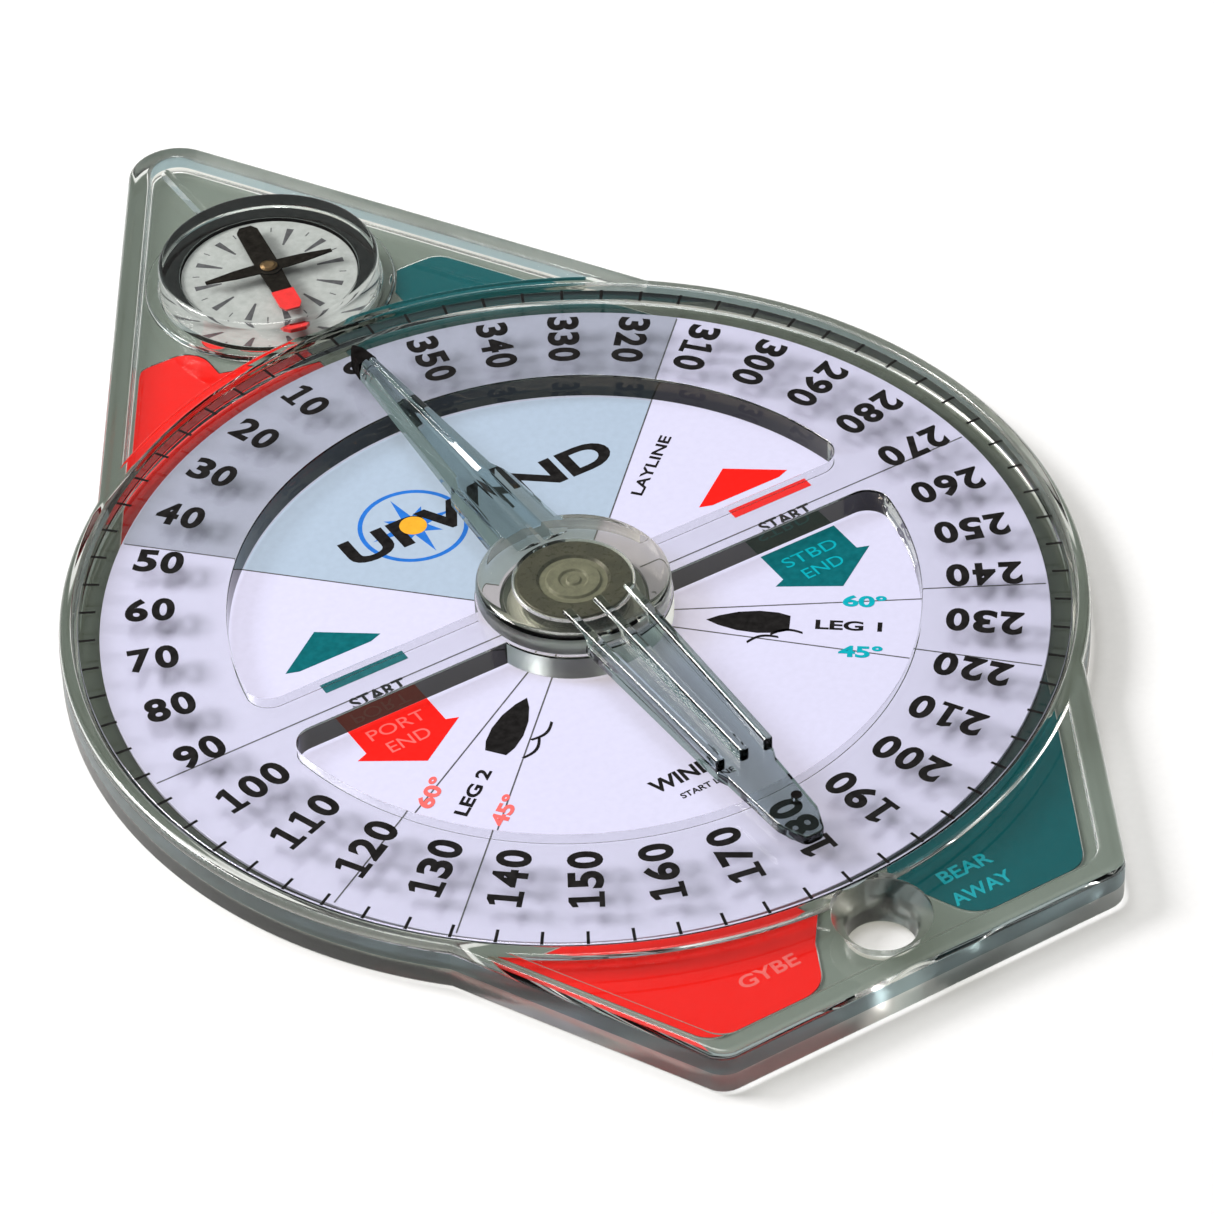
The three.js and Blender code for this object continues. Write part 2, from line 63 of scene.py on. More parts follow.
tray_lo, tray_hi = box_mm("base_tray")
card_lo, card_hi = box_mm("course_card")
dial_lo, dial_hi = box_mm("degree_dial")
arm_lo, arm_hi = box_mm("cursor_arm")
lens_lo, lens_hi = box_mm("compass_lens")
bezel_lo, bezel_hi = box_mm("compass_bezel")
rose_lo, rose_hi = box_mm("compass_rose")
pin_lo, pin_hi = box_mm("axle_pin")
label_lo, label_hi = box_mm("label_port_fore")

# ---- driving dimensions ----
BODY_R = tray_hi.x  # round middle of the tray
FORE_SIDE = 51.3  # distance of the straight fore sides from the axle
FORE_APEX_Y = 100.3
FORE_FILLET = 5.6
FORE_FILLET_MIN = 1.4  # it gets smaller inwards, down to this
AFT_SIDE = 51.7
AFT_EDGE_Y = tray_lo.y
AFT_CORNER_X = 23.6
AFT_FILLET = 2.8
AFT_FILLET_MIN = 0.8
RIM_W = 2.7
RIM_TOP = tray_hi.z
RIM_INNER_SIDE = 1.1  # inset that parts the outer wall from the rest of the tray
WALL_LINE = 2.6  # the outer wall's painted light below this height changes to painted shade above it
WALL_LEAN = 0.08  # how far the outer wall leans in over its height
FOOT_BEVEL = 0.6  # chamfer at the wall's foot
FOOT_ROUND = 0.5
RIM_ROUND = 0.9
WELL_R = 52.5
FLOOR = 1.2
POCKET_FLOOR = 3.4  # sunk face fore of the well
AFT_POCKET_FLOOR = 4.8  # shallower one aft of it
POCKET_FILLET = 3.0
BELOW_POCKET = 1  # a height under both of them, where what stands in a pocket starts
RIDGE_HALF = 0.8  # moulded line on the fore pocket's floor
RIDGE_TOP_HALF = 0.3
RIDGE_H = 0.5
RIDGE_CROWN = 0.08  # height of its crown over its shoulders
RIDGE_END_Y = 93.5
BOSS_R = 7.5
BOSS_TOP = 1.8
AXLE_HOLE_R = 3.35
CLIP_SEAT_R = 6.0
CLIP_SEAT_TOP = 1.15
COVER_SEAT_R = 7.1
COVER_SEAT_TOP = 0.35

CARD_R = card_hi.x
CARD_TOP = card_hi.z
DIAL_R = dial_hi.x
DIAL_Z = dial_lo.z
DIAL_TOP = dial_hi.z
WINDOW_R = 36.5
WINDOW_CORNER = 2.5
BAR_HALF = 3.0
DIAL_HUB_R = 10.5

COMPASS_Y = (lens_lo.y + lens_hi.y) / 2
COMPASS_SEAT_R = 12.8
COMPASS_SEAT_Z = 1.0
COLLAR_R = 14.2
COLLAR_TOP = 3.8
LENS_R = lens_hi.x
LENS_CAVITY_R = 10.2
LENS_CAVITY_TOP = 5.4
BEZEL_IN = 10.2
HOLE_Y = -57.3
HOLE_R = 3.5
HOLE_FOOT = 0.3  # chamfer at the hole's foot
HOLE_LIP = 1.6  # width and depth of the hole's funnel

ARM_Z = arm_lo.z
ARM_TOP = arm_hi.z
ARM_HUB_R = 10.3
ARM_HUB_TOP = 7.4
ARM_PLATE_TOP = 6.3
ARM_SEAT_R = 6.5
ARM_SEAT_TOP = 6.1
TIP_START = 43.4
DOT_X = 1.5
DOT_Y = -40.0
DOT_R = 0.6
DOT_DEPTH = 0.8

LABEL_IN_R = 46.5
LABEL_SIDE = 48.7  # distance of the fore labels' outer edges from the axle
LABEL_AFT_SIDE = 48.0
LABEL_AFT_Y = -60.6
LABEL_FORE_Y = 62.3
LABEL_FORE_FOOT = 18.0  # the fore labels end under the card
LABEL_CORNER = 3.0
LABEL_HALF_GAP = 1.5  # half the gap between the two fore labels
LABEL_SHOULDER = 12.0  # half the gap between them beside the collar
LABEL_COLLAR_GAP = 0.4
LABEL_COLLAR_Y = (56, 54)  # where the collar's arc starts and ends
LABEL_AFT_HEAD_Y = -28.0
LABEL_AFT_HALF_GAP = 2.5
LABEL_AFT_HEEL = 9.0  # where their aft edges end beside the hole
LABEL_AFT_HEEL_R = 3.6
LABEL_AFT_SHOULDER = (6.3, -55.0, 2.5)
LABEL_AFT_THROAT_Y = -50.0
LABEL_Z = label_lo.z
LABEL_TOP = label_hi.z
LABEL_GAP = 0.1
LABEL_SEAT = 0.35

LARGE = 240  # sides of the large circles
MEDIUM = 120
SMALL = 72
STEPS = 8  # points on a rounded corner
SHARP = 14  # edges that turn more than this many degrees stay sharp
BEVEL_ANGLE = 25  # edges that turn more than this many degrees are bevelled
INK = 0.02  # thickness of a printed layer
SINK = 0.005  # how deep a printed layer sits in what it is printed on
SLOPE = math.tan(math.radians(10))
EASE = 0.15  # part of a radius left out where a rounding runs into a level face
OVERSHOOT = 1  # how far a cutter runs past what it cuts
HEADROOM = 3  # the same over the tray's rim
ON_FACE = 0.05  # slack when a face is picked by its radius
ON_LEVEL = 0.01  # slack when a face is picked by its height
FLAT_UP = 0.99  # smallest upward part of a level face's normal
UPRIGHT = 0.3  # largest upward part of an upright face's normal
STEEP = 0.5  # the same for a face that is steep or rounded


# ---- outlines and solids ----

def arc(x, y, radius, start, end, steps):
    """Points from start to end degrees round (x, y)."""
    angles = [math.radians(start + (end - start) * i / steps) for i in range(steps + 1)]
    return [(x + radius * math.cos(a), y + radius * math.sin(a)) for a in angles]


def rounded(corners, closed=True, steps=STEPS):
    """The outline through (x, y) or (x, y, radius) corners, with an arc at each corner that has a radius."""
    points = []
    last = len(corners) - 1
    for i, (x, y, *radius) in enumerate(corners):
        here = Vector((x, y))
        if not radius or (not closed and i in (0, last)):
            points.append((x, y))
            continue
        before = (Vector(corners[i - 1][:2]) - here).normalized()
        after = (Vector(corners[(i + 1) % len(corners)][:2]) - here).normalized()
        half = before.angle(after) / 2
        centre = here + (before + after).normalized() * (radius[0] / math.sin(half))
        run = radius[0] / math.tan(half)
        start = here + before * run - centre
        end = here + after * run - centre
        a0 = math.degrees(math.atan2(start.y, start.x))
        turn = (math.degrees(math.atan2(end.y, end.x)) - a0 + 180) % 360 - 180
        points += arc(centre.x, centre.y, radius[0], a0, a0 + turn, steps)
    return points


def edge(u, z, radius, out, rise):
    """Corners of a wall at u, rounded off into a level face at z; out and rise say which way it runs."""
    start = z - rise * EASE * radius
    return [(u, start, radius), (u + out, start + rise * abs(out) * SLOPE)]


def solid(name, verts, faces):
    """A new object from points in millimetres, with its faces pointing out."""
    mesh = bpy.data.meshes.new(name)
    mesh.from_pydata([Vector(v) * MM for v in verts], [], faces)
    shape = bmesh.new()
    shape.from_mesh(mesh)
    bmesh.ops.recalc_face_normals(shape, faces=shape.faces)
    shape.to_mesh(mesh)
    shape.free()
    made = bpy.data.objects.new(name, mesh)
    bpy.context.scene.collection.objects.link(made)
    return made


def loft(name, rings, hollow=False):
    """A solid skinned over rings of equally many points; hollow joins the last ring to the first."""
    count = len(rings[0])
    verts = [point for ring in rings for point in ring]
    faces = []
    for level in range(len(rings) if hollow else len(rings) - 1):
        low = level * count
        high = (level + 1) % len(rings) * count
        for i in range(count):
            j = (i + 1) % count
            faces.append((low + i, low + j, high + j, high + i))
    if not hollow:
        faces += [tuple(range(count)), tuple(range((len(rings) - 1) * count, len(rings) * count))]
    return solid(name, verts, faces)


def turned(name, profile, sides, x=0.0, y=0.0, hollow=False):
    """A solid of revolution about an upright line; the profile is (radius, height) pairs off the axis."""
    spokes = [math.tau * i / sides for i in range(sides)]
    rings = [[(x + r * math.cos(a), y + r * math.sin(a), z) for a in spokes] for r, z in profile]
    return loft(name, rings, hollow)


def prism(name, outline, z0, z1):
    """An upright solid with that outline."""
    return loft(name, [[(x, y, z) for x, y in outline] for z in (z0, z1)])


def applied(piece):
    """Puts a piece's modifiers into its mesh."""
    shaped = piece.evaluated_get(bpy.context.evaluated_depsgraph_get())
    mesh = bpy.data.meshes.new_from_object(shaped)
    piece.modifiers.clear()
    piece.data = mesh
    return piece


def bevelled(piece, width):
    """Rounds a plain prism's sharp edges."""
    bevel = piece.modifiers.new("bevel", "BEVEL")
    bevel.width = width * MM
    bevel.segments = 4
    bevel.limit_method = "ANGLE"
    bevel.angle_limit = math.radians(BEVEL_ANGLE)
    return applied(piece)


def combine(piece, others, operation):
    """Cuts the others from a piece, or joins them to it, and removes them."""
    for other in others:
        boolean = piece.modifiers.new("boolean", "BOOLEAN")
        boolean.operation = operation
        boolean.solver = "MANIFOLD"
        boolean.object = other
    applied(piece)
    for other in others:
        bpy.data.objects.remove(other)
    return piece


def cut(piece, *cutters):
    """Cuts the cutters from a piece."""
    return combine(piece, cutters, "DIFFERENCE")


def joined(piece, *others):
    """Joins the others to a piece."""
    return combine(piece, others, "UNION")


def finished(piece, materials, body, slot, *nodes):
    """Gives a piece its shading and materials, and its place in the frame."""
    piece.data.materials.clear()
    for material in materials:
        piece.data.materials.append(material)
    piece.data.shade_smooth()
    piece.data.set_sharp_from_angle(angle=math.radians(SHARP))
    normals = piece.modifiers.new("weighted_normals", "WEIGHTED_NORMAL")
    normals.keep_sharp = True
    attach(piece, body)
    if nodes:
        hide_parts(*nodes)
    return piece


def paint(piece, choose):
    """Gives each face the material that choose(middle in millimetres, normal) returns for it."""
    looks = list(piece.data.materials)
    for face in piece.data.polygons:
        face.material_index = looks.index(choose(face.center / MM, face.normal))


# ---- camera, floor and light ----

CAMERA_AZIMUTH = -30.4
CAMERA_ELEVATION = 41.2
CAMERA_ROLL = -2.2
CAMERA_DISTANCE = 495.5
CAMERA_LENS = 140.4
CAMERA_AIM = Vector((1.6, -4.0, DIAL_TOP))
CAMERA_CLIP = (0.01, 20)  # metres
LAMP_DISTANCE = 1.1  # metres
LAMP_SIZE = 0.4
SKY = ((0.0, 0.40), (0.30, 0.12), (0.78, 0.05), (0.90, 0.75), (1.0, 0.85))  # height, grey
SKY_THROUGH = (0.38, 0.44, 0.44, 1)  # what clear plastic lets through of the studio
BACKDROP = (1, 1, 1, 1)
FLOOR_HALF = 3000
FLOOR_Z = -0.06


def direction(azimuth, elevation):
    """Unit vector from the object towards a viewer or lamp; azimuth 0 is behind the aft edge."""
    a = math.radians(azimuth)
    e = math.radians(elevation)
    return Vector((math.sin(a) * math.cos(e), -math.cos(a) * math.cos(e), math.sin(e)))


def make_camera():
    """The photograph's viewing angle."""
    data = bpy.data.cameras.new("camera")
    data.lens = CAMERA_LENS
    data.clip_start, data.clip_end = CAMERA_CLIP
    camera = bpy.data.objects.new("camera", data)
    back = direction(CAMERA_AZIMUTH, CAMERA_ELEVATION)
    camera.location = (CAMERA_AIM + back * CAMERA_DISTANCE) * MM
    roll = Matrix.Rotation(math.radians(CAMERA_ROLL), 3, "Z")
    camera.rotation_euler = ((-back).to_track_quat("-Z", "Y").to_matrix() @ roll).to_euler()
    bpy.context.scene.collection.objects.link(camera)
    bpy.context.scene.camera = camera


def softbox(name, azimuth, elevation, power, colour):
    """A square studio lamp of that many watts, aimed at the object and not seen through clear plastic."""
    data = bpy.data.lights.new(name, "AREA")
    data.shape = "SQUARE"
    data.size = LAMP_SIZE
    data.energy = power
    data.color = colour
    lamp = bpy.data.objects.new(name, data)
    away = direction(azimuth, elevation)
    lamp.location = away * LAMP_DISTANCE
    lamp.rotation_euler = (-away).to_track_quat("-Z", "Y").to_euler()
    lamp.visible_transmission = False
    bpy.context.scene.collection.objects.link(lamp)


def make_world():
    """A studio dome, bright overhead and dark lower down, with a pale backdrop for the camera."""
    world = bpy.data.worlds.new("studio")
    world.use_nodes = True
    tree = world.node_tree
    background = tree.nodes["Background"]
    place = tree.nodes.new("ShaderNodeTexCoord")
    split = tree.nodes.new("ShaderNodeSeparateXYZ")
    ramp = tree.nodes.new("ShaderNodeValToRGB")
    tree.links.new(place.outputs["Generated"], split.inputs[0])
    tree.links.new(split.outputs["Z"], ramp.inputs[0])
    while len(ramp.color_ramp.elements) < len(SKY):
        ramp.color_ramp.elements.new(0.5)
    for stop, (height, grey) in zip(ramp.color_ramp.elements, SKY):
        stop.position = height
        stop.color = (grey, grey, grey, 1)
    path = tree.nodes.new("ShaderNodeLightPath")
    through = tree.nodes.new("ShaderNodeMix")
    seen = tree.nodes.new("ShaderNodeMix")
    for mix in (through, seen):
        mix.data_type = "RGBA"
    tree.links.new(path.outputs["Is Transmission Ray"], through.inputs["Factor"])
    tree.links.new(ramp.outputs["Color"], through.inputs["A"])
    through.inputs["B"].default_value = SKY_THROUGH
    tree.links.new(path.outputs["Is Camera Ray"], seen.inputs["Factor"])
    tree.links.new(through.outputs["Result"], seen.inputs["A"])
    seen.inputs["B"].default_value = BACKDROP
    tree.links.new(seen.outputs["Result"], background.inputs["Color"])
    bpy.context.scene.world = world


def make_floor():
    """A wide sheet of pale paper, just under the object."""
    corners = ((-1, -1), (1, -1), (1, 1), (-1, 1))
    floor = solid("floor", [(x * FLOOR_HALF, y * FLOOR_HALF, FLOOR_Z) for x, y in corners], [(0, 1, 2, 3)])
    floor.data.materials.append(plain("floor_paper", (0.93, 0.93, 0.93), 0.9, spread=0.01, grain=0.6))


# ---- materials ----

NOISE_MIDDLE = (0.3, 0.7)  # the part of a noise pattern's range that gets used
TONE_LIFT = 0.02  # keeps near-black colours mottled as well
GLOSS_SWING = 0.2
GLOSS_SCALE = 2.3  # how much finer the gloss varies than the colour
FLOW_SCALE = 0.25  # flow marks per millimetre in clear plastic
SCUFF = 0.0006  # height of those marks in millimetres: clean, used and moulded faces
USED = 0.002
MOULDED = 0.004


def new_material(name):
    """A material, its node tree and its shader."""
    material = bpy.data.materials.new(name)
    material.use_nodes = True
    tree = material.node_tree
    return material, tree, tree.nodes["Principled BSDF"]


def noise(tree, scale, detail=3.0, stretch=(1, 1, 1)):
    """A noise pattern in the piece's own space, with scale features per millimetre."""
    place = tree.nodes.new("ShaderNodeTexCoord")
    mapping = tree.nodes.new("ShaderNodeMapping")
    mapping.inputs["Scale"].default_value = stretch
    pattern = tree.nodes.new("ShaderNodeTexNoise")
    pattern.inputs["Scale"].default_value = scale / MM
    pattern.inputs["Detail"].default_value = detail
    tree.links.new(place.outputs["Object"], mapping.inputs["Vector"])
    tree.links.new(mapping.outputs["Vector"], pattern.inputs["Vector"])
    return pattern.outputs["Fac"]


def ranged(tree, factor, low, high):
    """Spreads the middle of a noise pattern over low to high."""
    spread = tree.nodes.new("ShaderNodeMapRange")
    spread.inputs["From Min"].default_value, spread.inputs["From Max"].default_value = NOISE_MIDDLE
    spread.inputs["To Min"].default_value = low
    spread.inputs["To Max"].default_value = high
    tree.links.new(factor, spread.inputs["Value"])
    return spread.outputs["Result"]


def toned(tree, factor, colour, spread):
    """A colour that gets lighter and darker with a noise pattern."""
    ramp = tree.nodes.new("ShaderNodeValToRGB")
    dark, light = ramp.color_ramp.elements
    dark.position, light.position = NOISE_MIDDLE
    dark.color = (*[c * (1 - spread) for c in colour], 1)
    light.color = (*[min(c * (1 + spread) + spread * TONE_LIFT, 1) for c in colour], 1)
    tree.links.new(factor, ramp.inputs["Fac"])
    return ramp.outputs["Color"]


def relief(tree, shader, factor, height):
    """Raises the surface with a noise pattern, by height millimetres."""
    bump = tree.nodes.new("ShaderNodeBump")
    bump.inputs["Strength"].default_value = 1.0
    bump.inputs["Distance"].default_value = height * MM
    tree.links.new(factor, bump.inputs["Height"])
    tree.links.new(bump.outputs["Normal"], shader.inputs["Normal"])


def plain(name, colour, roughness, spread=0.06, scale=1.2, grain=6.0, height=0.004, metallic=0.0,
          stretch=(1, 1, 1), sheen=0.5):
    """An opaque finish: mottled colour, uneven gloss and a fine grain."""
    material, tree, shader = new_material(name)
    shader.inputs["Specular IOR Level"].default_value = sheen
    tree.links.new(toned(tree, noise(tree, scale), colour, spread), shader.inputs["Base Color"])
    gloss = ranged(tree, noise(tree, scale * GLOSS_SCALE, 4.0, stretch),
                   roughness * (1 - GLOSS_SWING), min(roughness * (1 + GLOSS_SWING), 1.0))
    tree.links.new(gloss, shader.inputs["Roughness"])
    shader.inputs["Metallic"].default_value = metallic
    relief(tree, shader, noise(tree, grain, 2.0, stretch), height)
    return material


def ink(name, colour, spread, roughness=0.4, sheen=0.15):
    """Printing ink: a thin, finely grained layer."""
    return plain(name, colour, roughness, spread=spread, grain=12.0, height=0.002, sheen=sheen)


def card(name, colour, spread):
    """Coated card, bare or overprinted."""
    return plain(name, colour, 0.45, spread=spread, grain=9.0, height=0.002)


def clear(name, tint, lamp_tint, scuff=SCUFF, stretch=(1, 1, 1), ior=1.49, haze=0.0):
    """Clear plastic with faint flow marks; lamps shine through it with a tint of their own."""
    material, tree, shader = new_material(name)
    shader.inputs["Base Color"].default_value = (*tint, 1)
    shader.inputs["IOR"].default_value = ior
    shader.inputs["Transmission Weight"].default_value = 1.0
    shader.inputs["Roughness"].default_value = haze
    relief(tree, shader, noise(tree, FLOW_SCALE, 3.0, stretch), scuff)
    path = tree.nodes.new("ShaderNodeLightPath")
    through = tree.nodes.new("ShaderNodeBsdfTransparent")
    through.inputs["Color"].default_value = (*lamp_tint, 1)
    surface = shader.outputs["BSDF"]
    for ray in ("Is Diffuse Ray", "Is Shadow Ray"):
        mix = tree.nodes.new("ShaderNodeMixShader")
        tree.links.new(path.outputs[ray], mix.inputs["Fac"])
        tree.links.new(surface, mix.inputs[1])
        tree.links.new(through.outputs["BSDF"], mix.inputs[2])
        surface = mix.outputs["Shader"]
    tree.links.new(surface, tree.nodes["Material Output"].inputs["Surface"])
    return material


CLEAR_TRAY = clear("clear_tray", (0.90, 0.93, 0.90), (0.98, 0.98, 0.98))
# painted light and shade on one clear plastic: the outer wall's foot a lighter warm grey, its head a dark
# teal
WALL_FOOT_LIT = clear("clear_wall_foot_painted_light", (0.80, 0.78, 0.72), (0.45, 0.45, 0.43), scuff=MOULDED, haze=0.35)
WALL_HEAD_SHADED = clear("clear_wall_head_painted_shade", (0.10, 0.17, 0.19), (0.42, 0.42, 0.40), scuff=MOULDED, haze=0.35)
# painted shade: a dark tint on the well's wall, for the dark band under the dial's edge
WELL_WALL_SHADE = clear("clear_well_wall_painted_shade", (0.30, 0.30, 0.26), (0.50, 0.48, 0.44))
# hazed, and tinted grey as painted shade in the lanyard hole's funnel
HOLE_WALL_SHADE = clear("clear_hole_wall_painted_shade", (0.62, 0.63, 0.57), (0.60, 0.60, 0.56), scuff=MOULDED, haze=0.4)
# painted shade: a grey-green tint on the tray's underside, for the shaded ground seen through the clear parts
UNDERSIDE_SHADE = clear("clear_underside_painted_shade", (0.27, 0.32, 0.275), (0.42, 0.45, 0.42), scuff=USED)
# painted shade: a dark olive tint on the well's floor, for the shade under the card's edge seen through it
WELL_FLOOR_SHADE = clear("clear_well_floor_painted_shade", (0.34, 0.35, 0.29), (0.60, 0.60, 0.54), scuff=USED)
CLEAR_DIAL = clear("clear_dial", (0.95, 0.95, 0.95), (0.96, 0.96, 0.96))
# painted shade: a near-black tint on the dial's window walls that face aft, for the dark they show
DIAL_EDGE_SHADE = clear("clear_dial_edge_painted_shade", (0.008, 0.006, 0.004), (0.80, 0.78, 0.76))
CLEAR_ARM = clear("clear_arm", (0.42, 0.51, 0.50), (0.80, 0.78, 0.75), scuff=MOULDED, stretch=(1, 0.12, 1))
CLEAR_HUB = clear("clear_hub", (0.82, 0.81, 0.74), (0.88, 0.86, 0.80), scuff=MOULDED)
HUB_WALL = clear("clear_hub_wall", (0.72, 0.76, 0.74), (0.88, 0.86, 0.80), scuff=MOULDED, haze=0.4)
CLEAR_LENS = clear("clear_lens", (0.93, 0.95, 0.92), (0.95, 0.96, 0.95))
DAMPING_FLUID = clear("damping_fluid", (0.97, 0.97, 0.96), (0.97, 0.97, 0.96), ior=1.0)
CARD_PAPER = card("card_paper", (0.69, 0.68, 0.88), 0.02)
WEDGE_IN = card("card_wedge_inner", (0.42, 0.52, 0.65), 0.03)
# print with painted shade: the grey wedge's outer part, under the dial ring, is printed darker than its inner
# part as painted shade
WEDGE_OUT_PRINT_AND_SHADE = card("card_wedge_outer_print_and_shade", (0.40, 0.42, 0.53), 0.03)
BLACK_INK = ink("black_ink", (0.010, 0.009, 0.009), 0.3, roughness=0.65, sheen=0.05)
GREY_INK = ink("grey_ink", (0.10, 0.10, 0.11), 0.3, roughness=0.5)
RED_INK = ink("red_ink", (0.95, 0.012, 0.008), 0.05)
TEAL_INK = ink("teal_ink", (0.0, 0.13, 0.15), 0.15)
CYAN_INK = ink("cyan_ink", (0.0, 0.40, 0.48), 0.1)
PINK_INK = ink("pink_ink", (1.0, 0.16, 0.15), 0.06)
BLUE_INK = ink("blue_ink", (0.02, 0.17, 0.62), 0.1)
GOLD_INK = ink("gold_ink", (0.85, 0.42, 0.03), 0.08)
RED_FILM = plain("red_film", (1.0, 0.010, 0.006), 0.7, spread=0.03, height=0.001, sheen=0.05)
TEAL_FILM = plain("teal_film", (0.0, 0.10, 0.115), 0.7, spread=0.06, height=0.001, sheen=0.05)
WHITE_FILM = plain("white_film", (0.82, 0.82, 0.80), 0.5, spread=0.03)
BLACK_PLASTIC = plain("black_plastic", (0.004, 0.003, 0.003), 0.75, spread=0.3, grain=8.0, sheen=0.03)
SMOKE_PLASTIC = plain("smoke_plastic", (0.066, 0.066, 0.048), 0.3, spread=0.2, scale=0.8, height=0.006)
SMOKE_CENTRE = plain("smoke_plastic_centre", (0.21, 0.22, 0.17), 0.35, spread=0.2, scale=1.4, height=0.02)
GREY_NYLON = plain("grey_nylon", (0.35, 0.34, 0.30), 0.6, spread=0.08)
ROSE_PAPER = plain("rose_paper", (0.46, 0.48, 0.48), 0.6, spread=0.10)
STEEL = plain("spring_steel", (0.60, 0.60, 0.58), 0.28, spread=0.08, metallic=1.0, stretch=(1, 8, 1))
BLACK_PAINT = plain("black_paint", (0.008, 0.006, 0.004), 0.75, spread=0.4, grain=10.0, sheen=0.05)
RED_PAINT = plain("red_paint", (0.90, 0.02, 0.02), 0.35, spread=0.08, grain=10.0)
BRASS = plain("dark_brass", (0.16, 0.10, 0.05), 0.4, spread=0.15, metallic=1.0)


# ---- clear tray ----

FORE_NORMAL = math.degrees(math.asin(FORE_SIDE / FORE_APEX_Y))
AFT_REACH = math.hypot(AFT_CORNER_X, AFT_EDGE_Y)
AFT_NORMAL = -math.degrees(math.asin(AFT_SIDE / AFT_REACH) - math.atan2(AFT_CORNER_X, -AFT_EDGE_Y))


def side_x(normal, distance, y):
    """x at height y of the straight side whose normal is at that angle."""
    a = math.radians(normal)
    return (distance - y * math.sin(a)) / math.cos(a)


def tray_outline(inset, corner=None):
    """The tray's outline drawn in by inset, anticlockwise from the starboard end of the round middle."""
    middle = BODY_R - inset
    fore = FORE_NORMAL + math.degrees(math.acos((FORE_SIDE - inset) / middle))
    aft = AFT_NORMAL - math.degrees(math.acos((AFT_SIDE - inset) / middle))
    apex = (FORE_SIDE - inset) / math.sin(math.radians(FORE_NORMAL))
    edge_y = AFT_EDGE_Y + inset
    corner_x = side_x(AFT_NORMAL, AFT_SIDE - inset, edge_y)
    starboard = arc(0, 0, middle, aft, fore, 72)
    port = arc(0, 0, middle, 180 - fore, 180 - aft, 72)
    tip = max(FORE_FILLET - inset, FORE_FILLET_MIN)
    corner = corner or max(AFT_FILLET - inset, AFT_FILLET_MIN)
    fore_end = rounded([starboard[-1], (0, apex, tip), port[0]], closed=False, steps=14)
    aft_end = rounded([port[-1], (-corner_x, edge_y, corner), (corner_x, edge_y, corner), starboard[0]],
                      closed=False)
    return starboard[:-1] + fore_end + port[1:-1] + aft_end[:-1]


TRAY_INSIDE = tray_outline(RIM_INNER_SIDE)
WELL_BAND = 0.4  # how far from the well's radius its wall's faces lie, which get painted shade
HOLE_UP = 0.97  # largest upward part of the normal of a face inside the hole's funnel, which gets painted shade


def tray_loft(name, profile, corner=None):
    """A solid with the tray's outline; the profile is (inset, height) pairs."""
    return loft(name, [[(x, y, z) for x, y in tray_outline(inset, corner)] for inset, z in profile])


def fore_label_outline(side, grow):
    """A label beside the compass, grown by grow; side is 1 for starboard."""
    d = LABEL_SIDE + grow
    top = LABEL_FORE_Y + grow
    inner = LABEL_IN_R - grow
    low = LABEL_FORE_FOOT
    foot = math.degrees(math.asin(low / inner))
    reach = LABEL_HALF_GAP - grow
    head = math.degrees(math.acos(reach / inner))
    collar = COLLAR_R + LABEL_COLLAR_GAP - grow
    shoulder = LABEL_SHOULDER - grow
    entry, leave = (math.degrees(math.atan2(y - COMPASS_Y, x))
                    for x, y in zip((shoulder, reach), LABEL_COLLAR_Y))
    shoulder_y = COMPASS_Y + collar * math.sin(math.radians(entry))
    outline = rounded([
        (side_x(FORE_NORMAL, d, low), low), (side_x(FORE_NORMAL, d, top), top, LABEL_CORNER),
        (shoulder, top, LABEL_CORNER), (shoulder, shoulder_y)], closed=False)
    outline += arc(0, COMPASS_Y, collar, entry, leave, 16)[1:]
    outline += arc(0, 0, inner, head, foot, 36)
    return [(side * x, y) for x, y in outline]


def aft_label_outline(side, grow):
    """A label beside the lanyard hole, grown by grow; side is 1 for starboard."""
    d = LABEL_AFT_SIDE + grow
    y = LABEL_AFT_Y - grow
    inner = LABEL_IN_R - grow
    top = LABEL_AFT_HEAD_Y
    reach = LABEL_AFT_HALF_GAP - grow
    shoulder, shoulder_y, radius = LABEL_AFT_SHOULDER
    outline = rounded([
        (side_x(AFT_NORMAL, d, top), top), (side_x(AFT_NORMAL, d, y), y, LABEL_CORNER),
        (LABEL_AFT_HEEL - grow, y, LABEL_AFT_HEEL_R), (shoulder - grow, shoulder_y, radius),
        (reach, LABEL_AFT_THROAT_Y)], closed=False)
    head = -math.degrees(math.acos(reach / inner))
    foot = -math.degrees(math.asin(-top / inner))
    outline += arc(0, 0, inner, head, foot, 36)
    return [(side * x, y) for x, y in outline]


def within(x, y, outline):
    """Whether a point lies inside an outline."""
    inside = False
    for (ax, ay), (bx, by) in zip(outline, outline[1:] + outline[:1]):
        if (ay > y) != (by > y) and x < ax + (bx - ax) * (y - ay) / (by - ay):
            inside = not inside
    return inside


def tray_look(middle, normal):
    """The tray's material at one face: its clear plastic carries painted shade on the underside, well floor,
    well wall, hole funnel and outer wall's head, and painted light on the outer wall's foot.
    """
    x, y, z = middle
    radius = math.hypot(x, y)
    if normal.z < -FLAT_UP and z < ON_LEVEL:
        return UNDERSIDE_SHADE
    if normal.z > FLAT_UP and abs(z - FLOOR) < ON_LEVEL:
        return WELL_FLOOR_SHADE
    if abs(normal.z) < UPRIGHT and not within(x, y, TRAY_INSIDE):
        return WALL_FOOT_LIT if z < WALL_LINE else WALL_HEAD_SHADED
    if abs(normal.z) < STEEP and abs(radius - WELL_R) < WELL_BAND:
        return WELL_WALL_SHADE
    if normal.z < HOLE_UP and math.hypot(x, y - HOLE_Y) < HOLE_R + HOLE_LIP + 1:
        return HOLE_WALL_SHADE
    return CLEAR_TRAY


